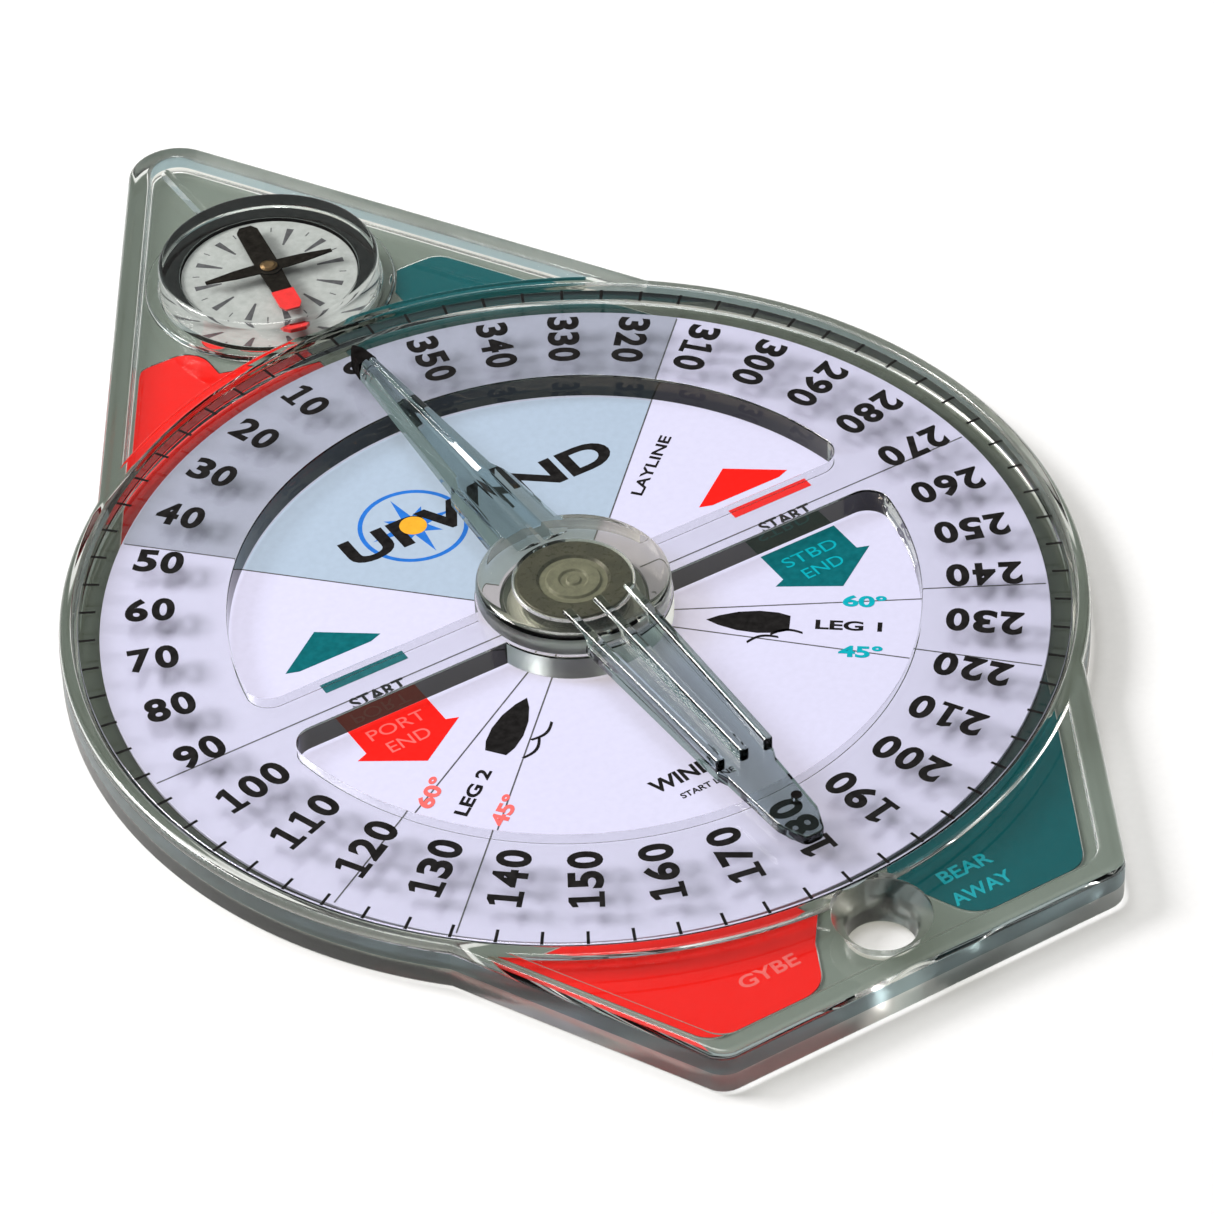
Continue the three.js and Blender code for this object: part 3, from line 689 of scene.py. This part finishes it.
def make_tray():
    """The clear base, with its well, sunk ends, compass seat and holes."""
    tray = tray_loft("tray_shell", rounded([
        (FOOT_BEVEL, 0), (0, 0, FOOT_ROUND), (WALL_LEAN / 2, WALL_LINE), (WALL_LEAN, RIM_TOP, RIM_ROUND),
        (1.2, RIM_TOP)], closed=False))
    above = RIM_TOP + HEADROOM

    well = turned("well", rounded([
        (BOSS_R - 0.5, BOSS_TOP), (BOSS_R, BOSS_TOP, 0.15), (BOSS_R, FLOOR, 0.15), (WELL_R, FLOOR, 0.5),
        *edge(WELL_R, RIM_TOP, 0.45, 1.5, 1), (WELL_R + 1.5, above)], closed=False), LARGE)
    pocket = tray_loft("pocket", rounded([
        (RIM_W + 1, POCKET_FLOOR), (RIM_W, POCKET_FLOOR, 0.6), *edge(RIM_W, RIM_TOP, 0.5, -1.0, 1),
        (RIM_W - 1.0, above)], closed=False), POCKET_FILLET)
    wall = turned("wall", rounded([
        (BODY_R + 1.5, BELOW_POCKET), *reversed(edge(BODY_R, POCKET_FLOOR, 0.5, 1.5, -1)),
        *edge(BODY_R, RIM_TOP, 0.5, -1.0, 1), (BODY_R - 1.0, above)], closed=False), LARGE)
    collar = turned("collar", rounded([
        (COLLAR_R + 1, BELOW_POCKET), *reversed(edge(COLLAR_R, POCKET_FLOOR, 0.4, 1, -1)),
        (COLLAR_R, COLLAR_TOP, 0.3), (COLLAR_R - 1, COLLAR_TOP)], closed=False), MEDIUM, y=COMPASS_Y)
    shelf = prism("shelf", [(-BODY_R, 0), (-BODY_R, AFT_EDGE_Y), (BODY_R, AFT_EDGE_Y), (BODY_R, 0)],
                  BELOW_POCKET, AFT_POCKET_FLOOR)
    ridge_half = ((-RIDGE_HALF, -OVERSHOOT), (-RIDGE_HALF, 0), (-RIDGE_TOP_HALF, RIDGE_H - RIDGE_CROWN),
                  (0, RIDGE_H))
    ridge_section = [*ridge_half, *[(-x, z) for x, z in reversed(ridge_half[:-1])]]
    ridge = loft("ridge", [[(x, y, POCKET_FLOOR + z) for x, z in ridge_section]
                           for y in (COMPASS_Y + COLLAR_R - 0.5, RIDGE_END_Y)])
    cut(pocket, wall, collar, shelf, ridge)

    seat = turned("seat", rounded([
        (COMPASS_SEAT_R - 1, COMPASS_SEAT_Z), (COMPASS_SEAT_R, COMPASS_SEAT_Z, 0.2),
        *edge(COMPASS_SEAT_R, COLLAR_TOP, 0.3, 0.4, 1), (COMPASS_SEAT_R + 0.4, above)], closed=False),
        MEDIUM, y=COMPASS_Y)
    hole = turned("hole", rounded([
        (HOLE_R + HOLE_FOOT, -OVERSHOOT), (HOLE_R + HOLE_FOOT, 0), (HOLE_R, HOLE_FOOT, 0.2),
        (HOLE_R, AFT_POCKET_FLOOR - HOLE_LIP, 1.6), (HOLE_R + HOLE_LIP - 0.1, AFT_POCKET_FLOOR - 0.1, 0.6),
        (HOLE_R + HOLE_LIP + 0.9, above)], closed=False), SMALL, y=HOLE_Y)
    axle_hole = turned("axle_hole", [(AXLE_HOLE_R, -OVERSHOOT), (AXLE_HOLE_R, above)], SMALL)
    clip_seat = turned("clip_seat", [(CLIP_SEAT_R, -OVERSHOOT), (CLIP_SEAT_R, CLIP_SEAT_TOP)], SMALL)
    cover_seat = turned("cover_seat", [(COVER_SEAT_R, -OVERSHOOT), (COVER_SEAT_R, COVER_SEAT_TOP)], SMALL)
    seats = [prism("label_seat", outline(side, LABEL_GAP), -OVERSHOOT, LABEL_SEAT)
             for side in (1, -1) for outline in (fore_label_outline, aft_label_outline)]
    cut(tray, well, pocket, seat, hole, axle_hole, clip_seat, cover_seat, *seats)

    finished(tray, [CLEAR_TRAY, UNDERSIDE_SHADE, WELL_FLOOR_SHADE, WALL_FOOT_LIT, WALL_HEAD_SHADED, WELL_WALL_SHADE, HOLE_WALL_SHADE], "base",
             "clear_base", "base_tray")
    paint(tray, tray_look)


LABEL_WORD_H = 1.7
GYBE_AT = (-12.2, -55.7)
BEAR_AT = (11.8, -54.5)
AWAY_AT = (11.6, -57.7)


def make_labels():
    """The coloured films in their seats under the base, and the words on them."""
    films = (
        ("label_film_starboard_fore", 1, fore_label_outline, TEAL_FILM, "teal_film", "label_starboard_fore"),
        ("label_film_port_fore", -1, fore_label_outline, RED_FILM, "red_film", "label_port_fore"),
        ("label_film_starboard_aft", 1, aft_label_outline, TEAL_FILM, "teal_film", "label_starboard_aft"),
        ("label_film_port_aft", -1, aft_label_outline, RED_FILM, "red_film", "label_port_aft"),
    )
    for name, side, outline, material, slot, node in films:
        film = prism(name, outline(side, 0), LABEL_Z, LABEL_TOP)
        finished(film, [material], "base", slot, node)
    printed("label_word_gybe", PINK_INK, LABEL_TOP, "base", "red_film",
            words([("GYBE", 6.6, GYBE_AT)], LABEL_WORD_H))
    printed("label_words_bear_away", CYAN_INK, LABEL_TOP, "base", "teal_film",
            words([("BEAR", 6.0, BEAR_AT), ("AWAY", 7.0, AWAY_AT)], LABEL_WORD_H))


# ---- printing ----

def lettering(text, height, width, bold=0.02):
    """Text as a thin mesh centred on the origin, in millimetres, reading along +X."""
    curve = bpy.data.curves.new("lettering", "FONT")
    curve.body = text
    curve.size = 1
    curve.offset = bold
    curve.resolution_u = 5
    curve.extrude = 0.5
    writing = bpy.data.objects.new("lettering", curve)
    bpy.context.scene.collection.objects.link(writing)
    mesh = bpy.data.meshes.new_from_object(writing.evaluated_get(bpy.context.evaluated_depsgraph_get()))
    bpy.data.objects.remove(writing)
    xs = [v.co.x for v in mesh.vertices]
    ys = [v.co.y for v in mesh.vertices]
    up = height / (max(ys) - min(ys))
    along = width / (max(xs) - min(xs))
    middle = Vector(((max(xs) + min(xs)) / 2, (max(ys) + min(ys)) / 2, 0))
    mesh.transform(Matrix.Diagonal((along, up, INK, 1)) @ Matrix.Translation(-middle))
    return mesh


def flat(outline):
    """An outline as a thin mesh in the plane z = 0."""
    piece = prism("flat", outline, -INK / 2, INK / 2)
    mesh = piece.data
    bpy.data.objects.remove(piece)
    mesh.transform(Matrix.Scale(1 / MM, 4))
    return mesh


def at(mesh, x, y, angle=0.0):
    """Turns a thin mesh by angle degrees and moves it to (x, y)."""
    mesh.transform(Matrix.Translation((x, y, 0)) @ Matrix.Rotation(math.radians(angle), 4, "Z"))
    return mesh


def words(rows, height, bold=0.02, angle=0.0):
    """Printed words from (text, width, (x, y)) rows."""
    return [at(lettering(text, height, width, bold), *place, angle) for text, width, place in rows]


def printed(name, material, z, body, slot, meshes, lift=0.0, x=0.0, y=0.0):
    """Joins thin meshes into one printed piece on a surface at height z."""
    sheet = bmesh.new()
    for mesh in meshes:
        sheet.from_mesh(mesh)
        bpy.data.meshes.remove(mesh)
    bmesh.ops.remove_doubles(sheet, verts=sheet.verts, dist=1e-4)
    bmesh.ops.recalc_face_normals(sheet, faces=sheet.faces)
    data = bpy.data.meshes.new(name)
    sheet.to_mesh(data)
    sheet.free()
    data.transform(Matrix.Scale(MM, 4) @ Matrix.Translation((x, y, z + INK / 2 - SINK + lift)))
    piece = bpy.data.objects.new(name, data)
    bpy.context.scene.collection.objects.link(piece)
    return finished(piece, [material], body, slot)


def polar(radius, degree):
    """The point at a dial degree; degrees run anticlockwise from the fore end."""
    a = math.radians(degree)
    return -radius * math.sin(a), radius * math.cos(a)


def spoke(r0, r1, degree, width):
    """A thin radial line."""
    line = flat([(-width / 2, r0), (width / 2, r0), (width / 2, r1), (-width / 2, r1)])
    return at(line, 0, 0, degree)


def sector(r0, r1, start, end, steps):
    """Part of a ring between two dial degrees."""
    outer = [polar(r1, start + (end - start) * i / steps) for i in range(steps + 1)]
    inner = [polar(r0, end + (start - end) * i / steps) for i in range(steps + 1)]
    return flat(outer + inner)


# ---- course card ----

WEDGE = 45  # half angle of the grey wedge
LEG_1 = 232.5
LEG_2 = 127.5
LEG_HALF = 7.5  # angle from a leg's boat to its two lines
LEGS = ((LEG_1, "LEG 1", 90), (LEG_2, "LEG 2", -90))  # degree, words and turn of the words
LEG_WORD_R = 28.9
LEG_ANGLE_R = 30.6
BOAT_R = 18.6
CARD_HUB_R = 7.85
PRINT_MARGIN = 0.3
LINE_W = 0.16
LAYER = 0.006  # height from one printed layer to the next
BOLD = 0.03
SAIL_HALF = 0.17  # half the width of the line a sail is drawn with
SAIL_LENGTH = 3.4
SAIL_BEND = 0.6
SAILS = ((14.2, -14.4, 70), (16.8, -15.0, 60), (-12.4, -13.6, -70), (-14.6, -15.2, -60))  # x, y, turn
ARROW_X = {-1: -24.4, 1: 26.0}  # middles of the arrows on each side
DOWN_Y = {-1: -6.9, 1: -7.9}
UP_Y = {-1: 8.9, 1: 7.6}
STRIP_X = 0.6  # from the arrow's middle
STRIP_Y = 2.75
STRIP_HALF = (4.9, 0.45)
START_X = 0.2  # from the arrow's middle
START_Y = -0.7
WIND_AT = (-3.9, -27.2)
START_LINE_AT = (-2.5, -29.8)
UPWIND_AT = (1.0, 21.5)
LAYLINE_R = 25.7
LAYLINE_DEGREE = 309.5
ROSE_AT = {"x": -7.0, "y": 22.0}
ROSE_R = 6.4
ROSE_STAR = (0.78, 0.24, 0.52, 0.24)  # its points and notches, as parts of its radius
ROSE_RING = (0.86, 0.94)
ROSE_EYE_R = 1.5
ROSE_LAYER = 0.007


def down_arrow(side):
    """Broad arrow pointing aft."""
    points = [(-4.7, 4.7), (4.7, 4.7), (4.7, 0.3), (6.0, -0.2), (0, -4.1), (-6.0, -0.2), (-4.7, 0.3)]
    return at(flat(points), ARROW_X[side], DOWN_Y[side])


def up_arrow(side):
    """Arrow head pointing fore."""
    points = [(-5.7, -0.2), (-4.3, -0.7), (4.3, -0.7), (5.7, -0.2), (0, 3.9)]
    return at(flat(points), ARROW_X[side], UP_Y[side])


def strip(side):
    """The short bar under an up arrow."""
    x, y = STRIP_HALF
    return at(flat([(-x, -y), (x, -y), (x, y), (-x, y)]), ARROW_X[side] + STRIP_X, STRIP_Y)


def arrow_words(text, side):
    """The two words on a down arrow."""
    x, y = ARROW_X[side], DOWN_Y[side]
    return words([(text, 6.6, (x, y + 2.3)), ("END", 4.8, (x, y - 0.3))], 1.6, bold=0.0)


def boat():
    """A hull seen from above, with its bow at -Y."""
    half = [(0.0, -4.7), (0.75, -3.4), (1.45, -1.4), (1.75, 0.8), (1.6, 2.8), (1.15, 4.1)]
    return flat(half + [(-x, y) for x, y in reversed(half[1:])])


def sail():
    """A thin curved sail."""
    parts = [i / STEPS for i in range(STEPS + 1)]
    line = [(SAIL_BEND * math.sin(math.pi * part), SAIL_LENGTH * (part - 0.5)) for part in parts]
    return flat([(x + SAIL_HALF, y) for x, y in line] + [(x - SAIL_HALF, y) for x, y in reversed(line)])


def wind_rose():
    """A plain ring with an eight-point star."""
    star = [polar(ROSE_R * ROSE_STAR[i % 4], i * 22.5) for i in range(16)]
    inner, outer = (ROSE_R * part for part in ROSE_RING)
    return [flat(star), *(sector(inner, outer, start, start + 180, 32) for start in (0, 180))]


def on_card(name, material, meshes, lift=0.0, x=0.0, y=0.0):
    """Prints meshes on the course card."""
    printed(name, material, CARD_TOP, "card", "card_print", meshes, lift, x, y)


def make_card():
    """The course card and everything printed on it."""
    disc = turned("printed_card", rounded([
        (CARD_HUB_R, card_lo.z), (CARD_R, card_lo.z, 0.06), (CARD_R, CARD_TOP, 0.1), (CARD_HUB_R, CARD_TOP)]),
        LARGE, hollow=True)
    finished(disc, [CARD_PAPER], "card", "card_print", "course_card")

    on_card("card_wedge_inner", WEDGE_IN, [sector(CARD_HUB_R + PRINT_MARGIN, WINDOW_R, -WEDGE, WEDGE, 48)])
    on_card("card_wedge_outer_print_and_shade", WEDGE_OUT_PRINT_AND_SHADE, [sector(WINDOW_R, CARD_R - 0.1, -WEDGE, WEDGE, 48)])
    degrees = [leg + turn for leg in (LEG_1, LEG_2) for turn in (-LEG_HALF, LEG_HALF)]
    degrees += [90, 270, WEDGE, -WEDGE]
    lines = [spoke(CARD_HUB_R + PRINT_MARGIN, CARD_R - PRINT_MARGIN, degree, LINE_W) for degree in degrees]
    on_card("card_lines", GREY_INK, lines, LAYER)

    black = []
    for leg, text, turn in LEGS:
        black += words([(text, 7.0, polar(LEG_WORD_R, leg))], 1.5, BOLD, leg + turn)
        black.append(at(boat(), *polar(BOAT_R, leg), leg))
    black += [at(sail(), x, y, angle) for x, y, angle in SAILS]
    black += words([("START", 6.4, (ARROW_X[side] + START_X, START_Y)) for side in (-1, 1)], 1.7, BOLD)
    black += words([("WIND", 7.4, WIND_AT)], 1.9, BOLD)
    black += words([("START LINE", 6.4, START_LINE_AT)], 0.8)
    black += words([("UPWIND", 33.0, UPWIND_AT)], 4.4, bold=0.035)
    black += words([("LAYLINE", 10.5, polar(LAYLINE_R, LAYLINE_DEGREE))], 1.3, angle=LAYLINE_DEGREE + 90)
    on_card("card_black_print", BLACK_INK, black, 2 * LAYER)

    on_card("card_teal_print", TEAL_INK, [up_arrow(-1), strip(-1), down_arrow(1)], LAYER)
    on_card("card_red_print", RED_INK, [up_arrow(1), strip(1), down_arrow(-1)], LAYER)
    cyan = arrow_words("STBD", 1)
    pink = arrow_words("PORT", -1)
    for (leg, _, turn), print_on in zip(LEGS, (cyan, pink)):
        for text, step in (("60°", LEG_HALF), ("45°", -LEG_HALF)):
            degree = leg + (step if turn > 0 else -step)
            print_on.extend(words([(text, 4.6, polar(LEG_ANGLE_R, degree))], 1.9, 0.035, leg + turn))
    on_card("card_cyan_print", CYAN_INK, cyan, 3 * LAYER)
    on_card("card_pink_print", PINK_INK, pink, 3 * LAYER)
    on_card("card_wind_rose", BLUE_INK, wind_rose(), ROSE_LAYER, **ROSE_AT)
    eye = flat(arc(0, 0, ROSE_EYE_R, 0, 352, 44))
    on_card("card_wind_rose_eye", GOLD_INK, [eye], 2 * ROSE_LAYER, **ROSE_AT)


# ---- degree dial ----

NUMERAL_H = 3.6
FIGURE_W = 2.45
FIGURE_STEP = 2.8
NUMERAL_OUT_R = 47.2  # radius of the numerals' outer ends
TICK_IN = 50.3
TICK_OUT = 52.05
TICK_W = 0.33
INNERMOST = 2.0  # radius where the dial's profile starts; the axle hole cuts it away
WINDOW_FLARE = 0.6  # how far a window's cutter widens over and under the dial
FACES_AFT = -0.15  # largest fore part of the normal of a face that looks aft and gets painted shade


def figure(character):
    """A bold upright figure centred on the origin."""
    if character == "1":
        return flat([(-1.05, -1.8), (1.1, -1.8), (1.1, -1.25), (0.42, -1.25), (0.42, 1.8), (-0.18, 1.8),
                     (-0.95, 1.4), (-0.95, 0.8), (-0.33, 1.0), (-0.33, -1.25), (-1.05, -1.25)])
    if character == "9":
        return at(figure("6"), 0, 0, 180)
    return lettering(character, NUMERAL_H, FIGURE_W, bold=0.04)


def numeral(number, figures):
    """The figures of a number side by side, as separate meshes."""
    middle = (len(number) - 1) / 2
    return [at(figures[sign].copy(), FIGURE_STEP * (i - middle), 0) for i, sign in enumerate(number)]


def window_outline(side, grow):
    """A half-moon window of the dial, grown by grow; side is 1 for the fore one."""
    corner_y = BAR_HALF + WINDOW_CORNER
    corner_x = math.sqrt((WINDOW_R - WINDOW_CORNER) ** 2 - corner_y ** 2)
    at_corner = math.degrees(math.atan2(corner_y, corner_x))
    hub = DIAL_HUB_R - grow
    at_hub = math.degrees(math.asin((BAR_HALF - grow) / hub))
    outline = arc(corner_x, corner_y, WINDOW_CORNER + grow, -90, at_corner, 14)
    outline += arc(0, 0, WINDOW_R + grow, at_corner, 180 - at_corner, 96)[1:-1]
    outline += arc(-corner_x, corner_y, WINDOW_CORNER + grow, 180 - at_corner, 270, 14)
    outline += arc(0, 0, hub, 180 - at_hub, at_hub, 40)
    return [(x, side * y) for x, y in outline]


def dial_look(middle, normal):
    """The dial's material at one face: window walls that look aft get painted shade, a near-black tint."""
    radius = math.hypot(middle.x, middle.y)
    upright = abs(normal.z) < UPRIGHT
    if upright and AXLE_HOLE_R + 1 < radius < DIAL_HUB_R + ON_FACE:
        return HUB_WALL
    if upright and normal.y < FACES_AFT and radius < WINDOW_R + ON_FACE:
        return DIAL_EDGE_SHADE
    return CLEAR_DIAL


def make_dial():
    """The clear dial with its two windows, and the degrees printed on it."""
    dial = turned("dial_disc", rounded([
        (INNERMOST, DIAL_Z), (DIAL_R, DIAL_Z, 0.15), (DIAL_R, DIAL_TOP, 0.35), (INNERMOST, DIAL_TOP)],
        closed=False), LARGE)
    profile = rounded([
        (WINDOW_FLARE, DIAL_Z - OVERSHOOT), *reversed(edge(0.0, DIAL_Z, 0.12, WINDOW_FLARE, -1)),
        *edge(0.0, DIAL_TOP, 0.25, WINDOW_FLARE, 1), (WINDOW_FLARE, DIAL_TOP + OVERSHOOT)], closed=False)
    windows = [loft("window", [[(x, y, z) for x, y in window_outline(side, grow)] for grow, z in profile])
               for side in (1, -1)]
    axle_hole = turned("axle_hole", [(AXLE_HOLE_R, 0), (AXLE_HOLE_R, DIAL_TOP + OVERSHOOT)], SMALL)
    cut(dial, *windows, axle_hole)
    finished(dial, [CLEAR_DIAL, DIAL_EDGE_SHADE, HUB_WALL], "dial", "clear_dial", "degree_dial")
    paint(dial, dial_look)

    marks = [spoke(TICK_IN, TICK_OUT, degree, TICK_W) for degree in range(0, 360, 5)]
    figures = {character: figure(character) for character in "0123456789"}
    for degree in range(0, 360, 10):
        number = str(degree)
        middle = NUMERAL_OUT_R - (FIGURE_STEP * (len(number) - 1) + FIGURE_W) / 2
        marks += [at(mesh, *polar(middle, degree), degree - 90) for mesh in numeral(number, figures)]
    printed("dial_figures", BLACK_INK, DIAL_TOP, "dial", "clear_dial", marks)


# ---- compass ----

LENS_START = 0.5  # radius where the lens's profile starts
ROSE_HOLE_R = 0.6
WEDGE_MARK = ((0.12, 5.6), (0.42, 8.7))  # half width and radius of its two ends
LINE_MARK = (8.0, 8.8, 0.14)  # inner and outer radius, and width


def wedge_mark(degree):
    """A wedge on the compass card that widens towards the edge."""
    (narrow, inner), (wide, outer) = WEDGE_MARK
    return at(flat([(-narrow, inner), (narrow, inner), (wide, outer), (-wide, outer)]), 0, 0, degree)


def lens_look(middle, _):
    """The lens's material at one face: the faces of its cavity touch the damping fluid."""
    inside = math.hypot(middle.x, middle.y - COMPASS_Y) < LENS_CAVITY_R + ON_LEVEL
    return DAMPING_FLUID if inside and middle.z < LENS_CAVITY_TOP + ON_LEVEL else CLEAR_LENS


def make_compass():
    """The compass's lens, ring and card with its marks."""
    lens = turned("compass_window", rounded([
        (LENS_START, LENS_CAVITY_TOP), (LENS_CAVITY_R, LENS_CAVITY_TOP, 0.5), (LENS_CAVITY_R, lens_lo.z, 0.1),
        (LENS_R, lens_lo.z, 0.15), (LENS_R, lens_hi.z, 0.6), (LENS_START, lens_hi.z)], closed=False),
        MEDIUM, y=COMPASS_Y)
    finished(lens, [CLEAR_LENS, DAMPING_FLUID], "base", "clear_lens", "compass_lens")
    paint(lens, lens_look)
    bezel = turned("compass_ring", rounded([
        (BEZEL_IN, bezel_lo.z), (bezel_hi.x, bezel_lo.z, 0.1), (bezel_hi.x, bezel_hi.z, 0.25),
        (BEZEL_IN, bezel_hi.z, 0.3)]), MEDIUM, y=COMPASS_Y, hollow=True)
    finished(bezel, [BLACK_PLASTIC], "base", "black_plastic", "compass_bezel")
    rose = turned("compass_card", rounded([
        (ROSE_HOLE_R, rose_lo.z), (rose_hi.x, rose_lo.z, 0.05), (rose_hi.x, rose_hi.z, 0.08),
        (ROSE_HOLE_R, rose_hi.z)]), MEDIUM, y=COMPASS_Y, hollow=True)
    finished(rose, [ROSE_PAPER], "base", "rose_print", "compass_rose")
    marks = [wedge_mark(degree) for degree in range(15, 375, 30)]
    inner, outer, width = LINE_MARK
    marks += [spoke(inner, outer, degree, width) for degree in range(0, 360, 30)]
    printed("compass_card_marks", GREY_INK, rose_hi.z, "base", "rose_print", marks, y=COMPASS_Y)


# ---- cursor ----

HUB_START = 1.0  # radius where the profiles of the hub and the axle start
FORE_BAR = ((6.0, 4.6), (19.0, 3.8), (20.5, 3.0), (TIP_START, 1.2))  # distance from the axle, half width
BAR_EAVES = 6.1  # height of the bar's upright sides
BAR_SHOULDER = (0.72, 7.35)  # part of the half width, height
BAR_CREST = 0.26  # the same part at the bar's top
BAR_GROOVE = 7.3  # height of the shallow groove along its middle
# the aft half: (distance from the axle, half width, rounding)
AFT_PLATE = ((8, 4.3), (33, 3.4, 0.5), (34.2, 2.9, 0.5), (42.5, 2.4, 2.0), (45.7, 1.1, 1.0))
RIBS = ((2.3, 3.4, 0.9), (-0.55, 0.55, 0), (-3.4, -2.3, -0.9))  # both sides, and the shift at the hub
RIB_Y = (-4.6, -33)
HUB_WALL_BAND = 0.15
PIN_R = 3.0
PIN_HEAD_Z = 5.1  # underside of the axle's head
PIN_CENTRE_R = 3.6
# rings moulded in the axle's head: (radius, depth, rounding)
PIN_FACE = ((3.9, 0, 0.1), (3.6, 0.28, 0.1), (3.0, 0.28, 0.1), (2.8, 0, 0.1),
            (1.6, 0, 0.1), (1.4, 0.25, 0.1), (0.9, 0.25, 0.1), (0.7, 0.05, 0.05))


def fore_bar():
    """The arm's fore half: a tapering bar with sloping shoulders and a shallow groove along its top."""
    sections = []
    for y, half in FORE_BAR:
        shoulder, shoulder_z = BAR_SHOULDER
        right = [(half, ARM_Z), (half, BAR_EAVES), (half * shoulder, shoulder_z), (half * BAR_CREST, ARM_TOP)]
        section = right + [(0, BAR_GROOVE)] + [(-x, z) for x, z in reversed(right)]
        sections.append([(x, y, z) for x, z in section])
    return bevelled(loft("bar", sections), 0.2)


def aft_plate():
    """The arm's aft half: a flat plate that ends in a rounded point."""
    right = [(half, -y, *radius) for y, half, *radius in AFT_PLATE]
    left = [(-half, -y, *radius) for y, half, *radius in reversed(AFT_PLATE)]
    return bevelled(prism("plate", rounded(right + left, steps=6), ARM_Z, ARM_PLATE_TOP), 0.25)


def rib(inner, outer, shift):
    """A rib on the aft plate."""
    hub_y, end_y = RIB_Y
    outline = [(inner + shift, hub_y), (outer + shift, hub_y), (outer, end_y), (inner, end_y)]
    return bevelled(prism("rib", outline, ARM_PLATE_TOP - 0.5, ARM_TOP), 0.35)


def arm_look(middle, normal):
    """The arm's material at one face."""
    radius = math.hypot(middle.x, middle.y)
    if radius >= ARM_HUB_R + ON_FACE:
        return CLEAR_ARM
    return HUB_WALL if abs(normal.z) < STEEP and radius > ARM_HUB_R - HUB_WALL_BAND else CLEAR_HUB


def pin_look(middle, normal):
    """The axle's material at one face: the middle of its head is paler."""
    centre = normal.z > STEEP and math.hypot(middle.x, middle.y) < PIN_CENTRE_R
    return SMOKE_CENTRE if centre else SMOKE_PLASTIC


def make_cursor():
    """The clear arm, and the axle it turns with."""
    arm = turned("cursor_body", rounded([
        (HUB_START, ARM_Z), (ARM_HUB_R, ARM_Z, 0.2), (ARM_HUB_R, ARM_HUB_TOP, 1.1), (HUB_START, ARM_HUB_TOP)],
        closed=False), MEDIUM)
    joined(arm, fore_bar(), aft_plate(), *(rib(*sides) for sides in RIBS))
    seat = turned("seat", rounded([
        (ARM_SEAT_R + 0.2, ARM_Z - OVERSHOOT), (ARM_SEAT_R, ARM_Z + 0.1), (ARM_SEAT_R, ARM_SEAT_TOP, 0.3),
        (HUB_START, ARM_SEAT_TOP)], closed=False), SMALL)
    pit = turned("pit", [(DOT_R, ARM_PLATE_TOP - DOT_DEPTH), (DOT_R, ARM_TOP + OVERSHOOT)], 32, DOT_X, DOT_Y)
    cut(arm, seat, pit)
    finished(arm, [CLEAR_ARM, CLEAR_HUB, HUB_WALL], "cursor", "clear_arm", "cursor_arm")
    paint(arm, arm_look)

    rings = [(radius, pin_hi.z - depth, rounding) for radius, depth, rounding in PIN_FACE]
    pin = turned("axle_head", rounded([
        (HUB_START, pin_lo.z), (PIN_R, pin_lo.z, 0.2), (PIN_R, PIN_HEAD_Z, 0.1), (pin_hi.x, PIN_HEAD_Z, 0.1),
        (pin_hi.x, pin_hi.z, 0.3), *rings, (0.2, pin_hi.z - 0.05)], closed=False, steps=4), MEDIUM)
    finished(pin, [SMOKE_PLASTIC, SMOKE_CENTRE], "cursor", "smoke_plastic", "axle_pin")
    paint(pin, pin_look)


def finish_frame_nodes():
    """Gives the CAD nodes that stay in view their finished materials."""
    looks = {
        "axle_cover": WHITE_FILM, "compass_capsule": BLACK_PLASTIC, "compass_pivot": STEEL,
        "friction_washer": GREY_NYLON, "pointer_tip": BLACK_PLASTIC, "index_dot": BLACK_PLASTIC,
        "retaining_clip": STEEL, "wave_washer": STEEL, "needle_magnet": BLACK_PAINT, "north_tip": RED_PAINT,
        "needle_crossbar": BLACK_PAINT, "needle_cap": BRASS,
    }
    for node, material in looks.items():
        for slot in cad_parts[node].material_slots:
            slot.material = material


make_camera()
make_world()
make_floor()
softbox("key_lamp", azimuth=185, elevation=77, power=3.7, colour=(1.0, 0.99, 0.97))
softbox("side_lamp", azimuth=225, elevation=42, power=11.8, colour=(1.0, 0.985, 0.97))
make_tray()
make_labels()
make_card()
make_dial()
make_compass()
make_cursor()
finish_frame_nodes()
bpy.context.scene.view_settings.view_transform = "Standard"
